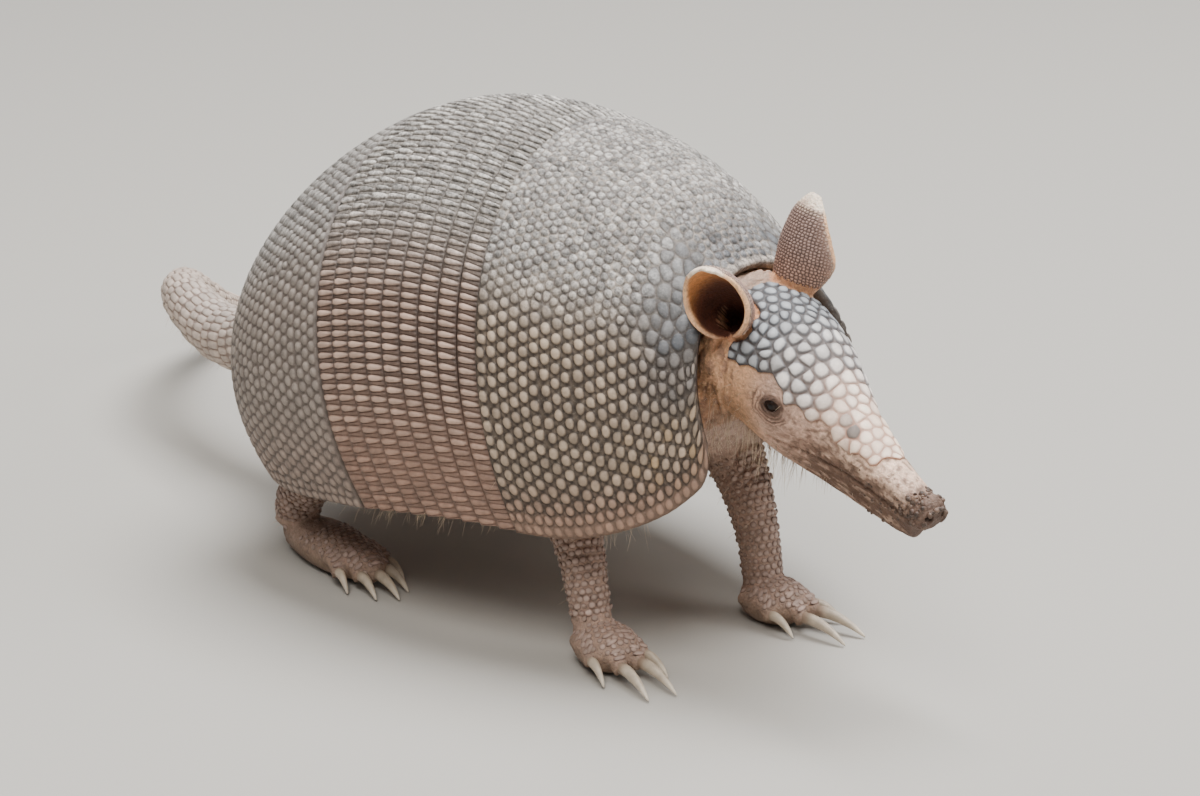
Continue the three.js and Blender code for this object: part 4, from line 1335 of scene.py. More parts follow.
spots = skin_points()
local = to_head(spots)
x, y, z = local.T
speckle = wander(spots, 0.0016, 2.0)
cloud = wander(spots, 0.009, 4.0)
tone = np.tile(np.array(BELLY_PINK), (len(spots), 1))
legs = (1 - ramp(spots[:, 2], 0.045, 0.06))
tone = over(tone, LEG_PINK, legs)
# The feet are darker towards the floor.
tone = over(tone, FOOT_LOW_TONE, (1 - ramp(spots[:, 2], 0.004, 0.016 + 0.01 * cloud)) * 0.75)
head_part = ramp(x, -0.030, -0.018) * (1 - ramp(np.hypot(y, z), 0.033, 0.040))
tone = over(tone, TAN_NECK, head_part)
dashes = wander(spots * (1, 1, 0.45), 0.0026, 6.0)
tone = over(tone, NECK_DASH, head_part * ramp(dashes, 0.22, 0.36) * (1 - ramp(x, 0.014, 0.03)) * 0.5)
nape = head_part * (1 - ramp(x, 0.002, 0.008)) * ramp(z, 0.014, 0.019) * (np.abs(y) < 0.016)
tone = over(tone, NAPE, nape * 0.7)
tone = over(tone, THROAT, head_part * (1 - ramp(z, -0.026, -0.012)) * (1 - ramp(x, 0.02, 0.05)) * 0.7)
tone = over(tone, PINK_CHEEK, head_part * ramp(x + 0.2 * z, 0.026, 0.040) * 0.85)
tone = over(tone, PINK_SNOUT, head_part * ramp(x, 0.052, 0.068))
streaks = wander(spots @ HEAD_TURN * (0.3, 1, 1), 0.0022, 4.0)
low_side = head_part * ramp(x, 0.040, 0.062) * (
    1 - ramp(z + 0.002 * cloud + 0.0025 * streaks, -0.004, 0.0045))
tone = over(tone, BROWN_LIP, low_side * 0.95 * (1 - 0.55 * ramp(streaks, 0.05, 0.3)))
tone = over(tone, BROWN_LIP, head_part * ramp(x, 0.034, 0.055) * ramp(speckle, 0.14, 0.26) * 0.75)
tone = over(tone, NOSE_BROWN, head_part * ramp(x + 0.003 * cloud, 0.093, 0.104) * 0.9)
spread, ahead, above, out_from = eye_places(local)
at_eye = (x > 0) & (spread < 5)
reach = np.hypot(ahead, above)
tone = over(tone, LID_BROWN_AND_CREASE_SHADE, at_eye * (1 - ramp(spread, 1.35, 2.2)) * 0.95)
# Painted shade in the creases between the lid folds, strongest above the eye.
tone = over(tone, LID_BROWN_AND_CREASE_SHADE, at_eye * ramp(-lid_folds(local, reach), 0.1, 0.8)
            * (0.35 + 0.65 * ramp(above - 0.6 * ahead, -0.003, 0.002)) * (1 - ramp(spread, 2.8, 4.2)) * 0.75)
eye_corner = np.exp(-(((ahead - 0.0038) / 0.0016) ** 2 + ((above + 0.0008) / 0.0012) ** 2))
tone = over(tone, LID_BROWN_AND_CREASE_SHADE, at_eye * eye_corner * 0.8)
tone = over(tone, BROWN_LIP, at_eye * ramp(above, 0.001, 0.004) * (1 - ramp(spread, 2.0, 3.6)) * 0.5)
share = ear_share(local)
for name, sign in (("right", -1), ("left", 1)):
    root, lean, opens, aside = ear_frame(name)
    this = (share > 0) & (np.sign(y) == sign)
    up = np.clip(share, 0, 1)
    out_of = local - root - opens * (ear_radius(up) * 0.5)[:, None]
    turn = np.arctan2(np.abs(out_of @ aside), -(out_of @ opens)) / ear_wrap(up)
    inside = np.hypot(out_of @ aside, out_of @ opens) < ear_radius(up)
    rim = ramp(turn, 0.78, 0.92)
    colour = np.where(inside[:, None], EAR_INSIDE, EAR_BACK)
    # Painted shade: the inside of the ear darkens toward its base and its middle.
    colour = over(colour, EAR_HOLLOW_SHADE, inside * (1 - ramp(up + 0.2 * turn, 0.35, 0.95)))
    colour = over(colour, EAR_INSIDE, ~inside * (1 - ramp(up, 0.12, 0.4)) * 0.5)
    # Painted highlight along the thin rim of the ear, from a little above its base.
    colour = over(colour, EAR_RIM_HIGHLIGHT, rim * ramp(up, 0.15, 0.4))
    colour = over(colour, EAR_TIP, ramp(up + 0.06 * cloud, 0.84, 0.93))
    tone = np.where(this[:, None], colour, tone)
    # Painted shade down the ear's tube, where it goes into the head.
    ear_hollow_shade_mask = np.linalg.norm(out_of - (out_of @ lean)[:, None] * lean, axis=1) < ear_radius(up) - 0.0008
    height = (local - root) @ lean
    tone = over(tone, EAR_HOLLOW_SHADE, (ear_hollow_shade_mask & (np.sign(y) == sign) & (height > -0.02))
                * (1 - ramp(height, EAR_LENGTH * 0.2, EAR_LENGTH * 0.5)))
tone *= (1 + 0.22 * cloud + 0.10 * speckle)[:, None]
paint(skin.data, tone)

skin_hide, tree, shader, painted = toned_material("skin_hide")
place = added(tree, "TexCoord", {}).outputs["Object"]
pores = tree.nodes.new("ShaderNodeTexVoronoi")
pores.feature = "DISTANCE_TO_EDGE"
feed(tree, pores, {"Vector": place, "Scale": 620})
creases = added(tree, "TexNoise", {
    "Vector": place, "Scale": 420, "Detail": 8, "Roughness": 0.7, "Distortion": 1.2})
# The creases' noise also sets the colour, darker where it sinks the relief: painted shade in the creases,
# over mottling.
shade = added(tree, "MapRange", {
    "Value": creases, "From Min": 0.32, "From Max": 0.68, "To Min": 0.62, "To Max": 1.28})
shaded = added(tree, "VectorMath", {0: painted["Color"], "Scale": shade}, "SCALE")
depth = added(tree, "Math", {0: pores, 1: 1.6, 2: creases}, "MULTIPLY_ADD")
relief = added(tree, "Bump", {"Height": depth, "Strength": 0.5, "Distance": 0.0008})
feed(tree, shader, {
    "Base Color": shaded, "Normal": relief, "Roughness": 0.68,
    "Subsurface Weight": 0.08, "Subsurface Radius": (1.0, 0.35, 0.2), "Subsurface Scale": 0.002})
skin.data.materials.clear()
skin.data.materials.append(skin_hide)
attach(skin, "root")
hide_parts("trunk", "neck", "head", "jaw", "nose", "ear_left", "ear_right")
for side in ("right", "left"):
    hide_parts(f"foreleg_{side}", f"forepaw_{side}", f"hindleg_{side}", f"hindfoot_{side}")

# -------- the casque
# A bony cap over the crown, brow and snout, whose horn is parted into about a hundred uneven plates:
# large round ones between the ears, six-sided ones over the brow, and flatter pale ones down the snout.
CASQUE_FROM = 0.001
CASQUE_TO = 0.084
CASQUE_MARGIN = 8
CASQUE_SPREAD = smooth_line(
    (0.001, 52), (0.014, 64), (0.026, 62), (0.037, 54), (0.047, 59), (0.066, 60), (0.084, 34))
CASQUE_PITCH = smooth_line(
    (0.001, 0.0058), (0.014, 0.0048), (0.030, 0.0055), (0.050, 0.0058), (0.066, 0.0052), (0.084, 0.0044))
CASQUE_LOOSE = 0.36
CASQUE_RISE = 0.0011
CASQUE_THICK = 0.002
CORNER_DRAW = 0.42
EAR_ROOT = 0.0093
# The dark smudge on the right of the snout: its place along the head and round it, and its size.
SMUDGE_AT = (0.0665, 0.60)
SMUDGE_SIZE = (0.0045, 0.22)
CASQUE_SLATE = (0.30, 0.315, 0.33)
CASQUE_WHITE = (0.80, 0.73, 0.67)
CASQUE_CREAM = (0.93, 0.70, 0.55)
CASQUE_DARK = (0.035, 0.024, 0.02)
CASQUE_BROWN = (0.07, 0.045, 0.036)
CASQUE_SEAM = (0.38, 0.19, 0.12)
CASQUE_SPOT = (0.075, 0.066, 0.06)


def head_radius(x):
    return (value_at(HEAD_HALF_WIDTH, x) + value_at(HEAD_TOP, x)) / 2 + CASQUE_RISE


casque_marks = np.linspace(CASQUE_FROM, CASQUE_TO + 0.0055, 300)
slopes = np.gradient(head_radius(casque_marks), casque_marks)
casque_steps = np.diff(casque_marks) * np.sqrt(1 + slopes[1:] ** 2) / head_radius(casque_marks[1:])
casque_flat = np.concatenate([[0], np.cumsum(casque_steps)])


def casque_x(q):
    return np.interp(q, casque_flat, casque_marks)


def casque_spread(q):
    return np.radians(value_at(CASQUE_SPREAD, casque_x(q)) + CASQUE_MARGIN)


casque_edge = np.linspace(0, casque_flat[-1], 240)
casque_side = np.stack([casque_edge, casque_spread(casque_edge)], -1)
across_rear = np.linspace(-1, 1, 60)[:, None]
casque_border = np.vstack([
    casque_side, casque_side * (1, -1),
    np.hstack([0 * across_rear, across_rear * casque_side[0, 1]]),
    np.hstack([0 * across_rear + casque_flat[-1], across_rear * casque_side[-1, 1]])])


def mirrored_over(border, reach):
    """What sets the seeds near a border outside it, as far off as they stand inside."""
    def mirror(seeds):
        away = np.linalg.norm(seeds[:, None] - border[None], axis=2)
        outside = 2 * border[away.argmin(1)] - seeds
        return outside[away.min(1) < reach]
    return mirror


casque_chance = np.random.default_rng(52)
casque_seeds, x, row = [], CASQUE_FROM, 0
while x < CASQUE_TO + 0.005:
    pitch = float(value_at(CASQUE_PITCH, x))
    middle_x = x + 0.42 * pitch
    half = math.radians(float(value_at(CASQUE_SPREAD, middle_x)) + CASQUE_MARGIN)
    radius = float(head_radius(middle_x))
    across = max(2, round(2 * half * radius / pitch))
    for i in range(across):
        turn = half * (2 * (i + 0.5 + (0.25 if row % 2 else -0.25)) / across - 1)
        loose = casque_chance.uniform(-1, 1, 2) * CASQUE_LOOSE * pitch / radius
        casque_seeds.append((np.interp(middle_x, casque_marks, casque_flat) + loose[0], turn + loose[1]))
    x += 0.85 * pitch
    row += 1
casque_seeds = np.array([p for p in casque_seeds if 0.02 < p[0] < casque_flat[-1] - 0.02])
casque_cells, casque_corners = evened(casque_seeds, mirrored_over(casque_border, 0.7), 1)
casque_corners[:, 0] = np.clip(casque_corners[:, 0], 0, casque_flat[-1])
limits = casque_spread(casque_corners[:, 0])
casque_corners[:, 1] = np.clip(casque_corners[:, 1], -limits, limits)


def clear_of_ears(x, turn):
    """Whether a place on the head stands clear of the ears' roots."""
    for side in ("right", "left"):
        root, lean, opens, _ = ear_frame(side)
        out = to_head(on_head(x, turn, 0.0)) - root - opens * 0.004
        if np.linalg.norm(out - (out @ lean) * lean) <= EAR_ROOT:
            return False
    return True


def in_casque(cell):
    """Whether a plate belongs to the casque; the ones over its edge are left out whole."""
    along, turn = casque_corners[cell].mean(0)
    x = casque_x(along)
    return abs(turn) < math.radians(value_at(CASQUE_SPREAD, x)) and x < CASQUE_TO and clear_of_ears(x, turn)


casque_cells = [cell for cell in casque_cells if len(cell) > 2 and in_casque(cell)]

# The corners that stick out alone from the casque's edge are drawn in.
alone = np.bincount(np.concatenate(casque_cells), minlength=len(casque_corners)) == 1
for cell in casque_cells:
    middle = casque_corners[cell].mean(0)
    for corner in cell:
        if alone[corner]:
            casque_corners[corner] += CORNER_DRAW * (middle - casque_corners[corner])


def on_casque(flat, lift):
    x = casque_x(flat[:, 0])
    spread = casque_spread(flat[:, 0])
    rim = np.minimum(1, np.minimum((spread - np.abs(flat[:, 1])) * 2.2, (x - CASQUE_FROM) / 0.006))
    rim = np.minimum(rim, (casque_marks[-1] - x) / 0.024)
    base = CASQUE_RISE * np.sqrt(np.clip(rim, 0, 1)) - 0.0002
    flush = 1 - 0.75 * ramp(x, 0.068, 0.084)
    return on_head(x, flat[:, 1], np.where(lift < -0.001, -0.0012, base + lift * flush))


def casque_plate(middle, number):
    x = float(casque_x(middle[0]))
    luck = casque_chance.uniform(0, 1, 4)
    forward = float(ramp(x + 0.006 * math.cos(middle[1]) - 0.004, 0.022, 0.042))
    front = float(ramp(x + 0.010 * math.cos(middle[1] + 0.3) + 0.008 * (luck[1] - 0.5), 0.046, 0.078))
    top = blended(blended(CASQUE_SLATE, CASQUE_WHITE, forward * (0.6 + 0.4 * luck[0])), CASQUE_CREAM, front)
    top = top * (0.80 + 0.40 * luck[2])
    ground = blended(blended(CASQUE_DARK, CASQUE_BROWN, forward), CASQUE_SEAM, front)
    # Painted shade: each plate is greyer and bluer towards its rim, less so on the flatter plates of the
    # snout.
    rim = blended(blended(ground, top * (0.8, 0.9, 1.0), 0.30), top, 0.5 * front)
    off = math.hypot((x - SMUDGE_AT[0]) / SMUDGE_SIZE[0], (-float(middle[1]) - SMUDGE_AT[1]) / SMUDGE_SIZE[1])
    smudge = min(1, 2 * math.exp(-off**2))
    top, rim = blended(top, CASQUE_SPOT, 0.9 * smudge), blended(rim, CASQUE_SPOT, 0.9 * smudge)
    height = 0.00075 - 0.0004 * front
    # The rings rise from the seam through the shaded rim to the crown, which is lightened as a painted
    # highlight.
    form = {"rings": [(1.0, height * 0.1, blended(ground, rim, 0.4)), (0.88, height * 0.6, rim),
                      (0.68, height * 0.92, blended(rim, top, 0.85))],
            "top": (height, np.minimum(top * 1.16, 1))}
    form.update(metres=head_radius(x), gap=0.00034 - 0.00016 * front, round=0.2, ground=ground,
                wedge=0.00008, wedge_colour=blended(ground, top, 0.2))
    return form


casque = plated("casque_plates", casque_cells, casque_corners, on_casque, casque_plate, CASQUE_THICK)
casque_horn = horn("casque_horn", grain=1300, roughness=0.55, mottle=0.15, dirt=0.08, coat=0.08)
casque.data.materials.append(casque_horn)
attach(casque, "root")
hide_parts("casque")

# -------- the eyes
# Small, nearly black, wet balls set in the lids, each with a clear bulge in front of its dark iris.
EYE_PUPIL = 0.3
EYE_IRIS = 0.62
EYE_BULGE = 0.00022
PUPIL_BLACK = (0.004, 0.003, 0.003)
IRIS_BROWN = (0.018, 0.010, 0.007)
EYE_BROWN = (0.05, 0.03, 0.025)

eye_wet, tree, shader, painted = toned_material("eye_wet")
feed(tree, shader, {
    "Base Color": painted["Color"], "Roughness": 0.3, "Specular IOR Level": 0.1,
    "Coat Weight": 0.3, "Coat Roughness": 0.03})
for side, sign in (("right", -1), ("left", 1)):
    middle, axis, _, _ = eye_frame(sign)
    place = Vector(from_head(middle))
    looks = Vector(from_head(middle + axis)) - place
    bpy.ops.object.select_all(action="DESELECT")
    bpy.ops.mesh.primitive_uv_sphere_add(
        segments=40, ring_count=28, radius=EYE_RADIUS, location=place,
        rotation=looks.to_track_quat("Z", "Y").to_euler())
    eye = bpy.context.object
    bpy.ops.object.transform_apply(location=True, rotation=True, scale=True)
    eye.name = f"eye_ball_{side}"
    colours = []
    for point in eye.data.vertices:
        outward = (point.co - place).normalized()
        off = math.acos(max(-1, min(1, outward.dot(looks))))
        if off < EYE_IRIS:
            point.co += outward * EYE_BULGE * math.cos(off / EYE_IRIS * math.pi / 2)
        colours.append(PUPIL_BLACK if off < EYE_PUPIL else IRIS_BROWN if off < EYE_IRIS else EYE_BROWN)
    paint(eye.data, colours)
    eye.data.materials.append(eye_wet)
    bpy.ops.object.shade_smooth()
    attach(eye, "root")
    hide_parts(f"eye_{side}")

# -------- the claws
# Strong, curved horn claws, long on the two middle toes of the forefeet and shorter behind. Each comes
# out of its toe, is rounded above and flatter beneath, and thins to a blunt, worn tip.
CLAW_HORN = (0.46, 0.38, 0.29)
CLAW_ROOT = (0.25, 0.17, 0.12)
CLAW_TIP = (0.62, 0.54, 0.43)
# Its half height along it, as a share of its toe's radius.
CLAW_TAPER = smooth_line((0, 0.66), (0.3, 0.64), (0.6, 0.48), (0.85, 0.27), (0.96, 0.14), (1, 0.07))
CLAW_NARROW = 0.86
CLAW_FLAT = 0.7
CLAW_STEPS = 26
CLAW_AROUND = 14


def claw_rings(foot, toe):
    """A claw's rings, from inside the toe to its tip."""
    side, ahead, reach, radius, length = toe
    marks = ((-0.0025, -0.0020), (length * 0.2, -0.0017), (length * 0.45, -0.0024), (length * 0.75, -0.0044),
             (length, -0.0070))
    line = smooth_line(*(
        on_foot(foot, ahead + reach + on, side * (1 + (reach + on) * TOE_SPLAY), up) for on, up in marks))

    def half_height(share):
        return radius * value_at(CLAW_TAPER, share)

    rings = limb_rings(line, CLAW_STEPS, CLAW_AROUND, lambda s: half_height(s) * CLAW_NARROW, half_height)
    heart = rings.mean(1)[:, 2:]
    height = rings[:, :, 2] - heart
    rings[:, :, 2] = np.maximum(np.where(height < 0, heart + height * CLAW_FLAT, rings[:, :, 2]), 0.0001)
    return rings


claw_horn = horn("claw_horn", grain=1600, roughness=0.42, mottle=0.14, dirt=0.15, coat=0.15)
along = np.append(np.repeat(np.linspace(0, 1, CLAW_STEPS), CLAW_AROUND), (0, 1))
claw_colours = [
    blended(blended(CLAW_ROOT, CLAW_HORN, ramp(a, 0.12, 0.35)), CLAW_TIP, ramp(a, 0.6, 1)) for a in along]
for paw, feet, toes in (("forepaw", FOREPAW, FORE_TOES), ("hindfoot", HINDFOOT, HIND_TOES)):
    for side in ("right", "left"):
        for number, toe in enumerate(toes):
            claw = lofted(f"claw_{paw}_{side}_{number + 1}", claw_rings(feet[side], toe))
            paint(claw.data, claw_colours)
            claw.data.materials.append(claw_horn)
            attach(claw, "root")
            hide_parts(f"{paw}_{side}_claw_{number + 1}")

# -------- the ears' granules
# The backs of the ears are leathery and set with rows of tiny round horny granules, brown and dark
# between, down to the pink of the root. The rims, tips and insides are bare.
GRANULE_PITCH = 0.00132
GRANULE_LOOSE = 0.14
GRANULE_HEIGHT = 0.0004
GRANULE_GROOVE = 0.0002
GRANULES_THICK = 0.0006
GRANULES_FROM = 0.10
GRANULES_TO = 0.86
# How far round the ear the granules' seeds, their border and their outermost corners reach.
SEEDS_ROUND = 0.83
BORDER_ROUND = 0.85
CORNERS_ROUND = 0.87
GRANULE_LOW = (0.50, 0.29, 0.21)
GRANULE_HIGH = (0.43, 0.285, 0.235)
GRANULE_PALE_AND_RIM_HIGHLIGHT = (0.82, 0.62, 0.47)
GRANULE_GROUND = (0.045, 0.02, 0.016)


def ear_half(share):
    """Metres from the middle of an ear's back round to its rim."""
    return ear_wrap(share) * ear_radius(share)


def granule_seeds(chance):
    seeds, row, at = [], 0, GRANULES_FROM
    while at < GRANULES_TO:
        half = SEEDS_ROUND * float(ear_half(at))
        across = max(2, round(2 * half / GRANULE_PITCH))
        shift = 0.25 if row % 2 else -0.25
        for i in range(across):
            loose = chance.uniform(-GRANULE_LOOSE, GRANULE_LOOSE, 2) * GRANULE_PITCH
            seeds.append((at * EAR_LENGTH + loose[0], half * (2 * (i + 0.5 + shift) / across - 1) + loose[1]))
        at += 0.88 * GRANULE_PITCH / EAR_LENGTH
        row += 1
    return np.array(seeds)


ear_marks = np.linspace(GRANULES_FROM, GRANULES_TO, 120)
ear_limits = BORDER_ROUND * ear_half(ear_marks)
ear_ends = np.linspace(-1, 1, 50)
ear_border = np.vstack([
    np.stack([ear_marks * EAR_LENGTH, ear_limits], -1), np.stack([ear_marks * EAR_LENGTH, -ear_limits], -1),
    np.stack([0 * ear_ends + GRANULES_FROM * EAR_LENGTH, ear_ends * ear_limits[0]], -1),
    np.stack([0 * ear_ends + GRANULES_TO * EAR_LENGTH, ear_ends * ear_limits[-1]], -1)])
ear_horn = horn("ear_horn", grain=1800, roughness=0.6, mottle=0.15, dirt=0.1, coat=0.05)
for side, sign in (("right", -1), ("left", 1)):
    chance = np.random.default_rng(61 + sign)
    seeds = granule_seeds(chance)
    cells, corners = cells_between(seeds, mirrored_over(ear_border, 0.0017)(seeds), joined=0.00005)
    corners[:, 0] = np.clip(corners[:, 0], GRANULES_FROM * EAR_LENGTH, GRANULES_TO * EAR_LENGTH)
    widest = CORNERS_ROUND * ear_half(corners[:, 0] / EAR_LENGTH)
    corners[:, 1] = np.clip(corners[:, 1], -widest, widest)

    def on_ear_back(flat, lift, side=side):
        share = flat[:, 0] / EAR_LENGTH
        stand = EAR_WALL * (1 - 0.25 * share) / 2 + lift
        return on_ear(
            side, share, flat[:, 1] / ear_radius(share), np.where(lift < -0.0002, 0.0002, stand))

    def granule(middle, number, chance=chance):
        share = middle[0] / EAR_LENGTH
        aside = abs(middle[1]) / ear_half(share)
        top = blended(GRANULE_LOW, GRANULE_HIGH, ramp(share, 0.15, 0.5))
        # Paler toward the ear's pale tip, and toward its rim, where they carry on the rim's painted
        # highlight.
        top = blended(top, GRANULE_PALE_AND_RIM_HIGHLIGHT, max(0.8 * ramp(share, 0.76, 0.86), 0.7 * ramp(aside, 0.72, 0.9)))
        top = top * chance.uniform(0.85, 1.15)
        ground = blended(GRANULE_GROUND, top, 0.5 * ramp(aside, 0.75, 0.92))
        return {"rings": [(0.97, GRANULE_HEIGHT * 0.4, blended(ground, top, 0.42))],
                "top": (GRANULE_HEIGHT, top * 1.1), "metres": 1.0, "gap": GRANULE_GROOVE, "round": 0.5,
                "ground": ground, "wedge": 0.0, "wedge_colour": ground}

    granules = plated(f"ear_granules_{side}", cells, corners, on_ear_back, granule, GRANULES_THICK)
    granules.data.materials.append(ear_horn)
    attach(granules, "root")
    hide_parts(f"ear_{side}")

# -------- the scales of the legs and feet
# Round horny scales in rows round the fore and hind legs and over the tops of the feet, and broad ones
# across each toe. Each is a low dome set in the skin, pinkish in front and dusty behind.
LEG_SCALE = 0.0030
LEG_SCALES_FROM = 0.36
LEG_SCALES_TO = 0.93
LEG_SCALE_HEIGHT = 0.00045
FOOT_SCALE = 0.0025
FOOT_SPACE = 0.0026
FOOT_SCALE_HEIGHT = 0.00038
TOE_SCALE = 0.0021
SCALE_PINK = (0.42, 0.30, 0.25)
SCALE_DUSTY = (0.29, 0.205, 0.16)
SCALE_RIM = (0.13, 0.075, 0.055)
SCALE_SIDES = 9


def skin_below(outside, inward):
    """Where a line from outside meets the skin, and the skin's own direction there."""
    inward = Vector(inward).normalized()
    hit, spot, outward, _ = skin.ray_cast(Vector(outside), inward, distance=0.05)
    return (spot, outward) if hit else None


def scale_at(made, spot, outward, along, half_long, half_wide, height, tone, on_map):
    """Adds one low dome to the points, faces, colours and map places being made."""
    points, faces, colours, patches = made
    along = (along - outward * along.dot(outward)).normalized()
    across = outward.cross(along)
    first = len(points)
    for size, rise, shade in ((1.08, -0.35, 0.0), (1.0, 0.25, 0.35), (0.68, 0.85, 0.85)):
        for k in range(SCALE_SIDES):
            turn = 2 * math.pi * k / SCALE_SIDES
            a, b = math.cos(turn), math.sin(turn)
            points.append(spot + along * (half_long * size * a) + across * (half_wide * size * b)
                          + outward * (height * rise))
            colours.append(blended(SCALE_RIM, tone, shade))
            patches.append((on_map[0] + 0.0015 * size * a, on_map[1] + 0.0015 * size * b))
    points.append(spot + outward * height)
    points.append(spot - outward * height)
    colours += [tone, SCALE_RIM]
    patches += [on_map, on_map]
    for k in range(SCALE_SIDES):
        n = (k + 1) % SCALE_SIDES
        for ring in (0, 1):
            low, high = first + ring * SCALE_SIDES, first + (ring + 1) * SCALE_SIDES
            faces.append((low + k, low + n, high + n, high + k))
        faces.append((first + 2 * SCALE_SIDES + k, first + 2 * SCALE_SIDES + n, first + 3 * SCALE_SIDES))
        faces.append((first + n, first + k, first + 3 * SCALE_SIDES + 1))


def mapped_piece(name, made):
    """A piece from points, faces, colours and places on its map."""
    points, faces, colours, patches = made
    mesh = bpy.data.meshes.new(name)
    mesh.from_pydata([tuple(p) for p in points], [], faces)
    paint(mesh, colours)
    lay_on_map(mesh, patches)
    return closed_piece(name, mesh)


def scale_tone(chance, pink, spread):
    """A scale's tone, from dusty to pink."""
    return blended(SCALE_DUSTY, SCALE_PINK, pink) * chance.uniform(1 - spread, 1 + spread)


def scale_leg(made, chance, line, thick, outer):
    """Rows of scales round a leg, largest and pinkest where it faces the outer way, and forward."""
    share, row = LEG_SCALES_FROM, 0
    while share < LEG_SCALES_TO:
        middle = Vector(point_on(line, [share])[0])
        ahead = Vector((point_on(line, [share + 0.01]) - point_on(line, [share - 0.01]))[0]).normalized()
        radius = float(value_at(thick, share))
        around = round(2 * math.pi * radius / LEG_SCALE)
        side_way = ahead.cross(Vector((1, 0, 0))).normalized()
        for i in range(around):
            turn = 2 * math.pi * (i + 0.5 * (row % 2)) / around + chance.uniform(-0.05, 0.05)
            out = side_way * math.cos(turn) + side_way.cross(ahead) * math.sin(turn)
            found = skin_below(middle + out * (radius + 0.008), -out)
            if not found or (found[0] - middle).length > radius * 1.5:
                continue
            front = 0.5 + 0.5 * found[1].dot(outer)
            size = LEG_SCALE * 0.5 * (0.58 + 0.36 * front) * chance.uniform(0.88, 1.08)
            tone = scale_tone(chance, front * chance.uniform(0.6, 1), 0.15)
            scale_at(made, *found, ahead, size * 0.92, size, LEG_SCALE_HEIGHT + 0.0002 * front, tone,
                     (0.05 + 0.5 * share, 0.05 + 0.9 * (turn / (2 * math.pi)) % 0.95))
        share += LEG_SCALE * 0.86 / line_length(line)
        row += 1


def scale_foot(made, chance, foot, pad, forward):
    """Rows of scales over the top of a foot, from the ankle to the toes."""
    for row, ahead in enumerate(np.arange(-pad[0] * 0.75, pad[0] * 0.95, FOOT_SCALE)):
        half = pad[1] * math.sqrt(max(0, 1 - (ahead / pad[0]) ** 2))
        for aside in np.arange(-half, half, FOOT_SPACE):
            aside += FOOT_SPACE / 2 * (row % 2) + chance.uniform(-0.0002, 0.0002)
            found = skin_below(on_foot(foot, ahead, aside, 0.022), (0, 0, -1))
            if not found or found[0].z < 0.003 or found[0].z > 0.0185:
                continue
            size = FOOT_SCALE / 2 * chance.uniform(0.8, 1.05)
            tone = scale_tone(chance, chance.uniform(0.2, 0.9), 0.15)
            scale_at(made, *found, forward, size, size, FOOT_SCALE_HEIGHT, tone,
                     (0.62 + 0.2 * (ahead / pad[0]), 0.5 + 0.4 * aside / pad[1]))


def scale_toes(made, chance, foot, toes, forward):
    """Four broad scales across the top of each toe."""
    for number, toe in enumerate(toes):
        for step in np.linspace(0.42, 0.9, 4):
            middle = Vector(point_on(toe_line(foot, toe), [step])[0])
            found = skin_below(middle + Vector((0, 0, 0.012)), (0, 0, -1))
            if not found or (found[0] - middle).length > 0.008:
                continue
            tone = scale_tone(chance, chance.uniform(0.4, 1), 0.1)
            scale_at(made, *found, forward, TOE_SCALE * 0.5, toe[3] * 0.62, LEG_SCALE_HEIGHT, tone,
                     (0.86 + 0.1 * step, 0.1 + 0.8 * number / len(toes)))


scale_horn = horn("scale_horn", grain=1700, roughness=0.55, mottle=0.16, dirt=0.2, coat=0.06)
for side, sign in (("right", -1), ("left", 1)):
    outer = Vector((0.8, 0.5 * sign, 0.1)).normalized()
    for leg_name, legs, thick, foot_name, feet, pad, toes in (
            ("foreleg", FORELEG, FORELEG_THICK, "forepaw", FOREPAW, FOREPAW_HALF_SIZE, FORE_TOES),
            ("hindleg", HINDLEG, HINDLEG_THICK, "hindfoot", HINDFOOT, HINDFOOT_HALF_SIZE, HIND_TOES)):
        chance = np.random.default_rng(len(leg_name + side) * 7 + len(toes))
        foot = feet[side]
        forward = Vector((math.cos(foot[1]), math.sin(foot[1]), 0))
        made = ([], [], [], [])
        scale_leg(made, chance, legs[side] + np.array(home), thick, outer)
        scale_foot(made, chance, foot, pad, forward)
        scale_toes(made, chance, foot, toes, forward)
        scales = mapped_piece(f"{leg_name}_scales_{side}", made)
        scales.data.materials.append(scale_horn)
        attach(scales, "root")
        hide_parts(f"{leg_name}_{side}", f"{foot_name}_{side}")

# -------- the nose's grit
# Grains of soil stuck to the wet leather of the nose and the lips round it, as on an animal that has
# been rooting for ants. They are crowded on top of the nose and sparse along the mouth.
GRIT_DARK = (0.035, 0.022, 0.015)
GRIT_LIGHT = (0.20, 0.125, 0.085)
GRIT_COUNT = 330
GRIT_AHEAD = 0.1105
GRIT_REACH = 0.034
GRIT_SIZE = (0.00035, 0.00105)
LIPS_BEHIND = 0.098
GRIT_MIDDLE = 0.106
UNDER_LIPS = 1.3

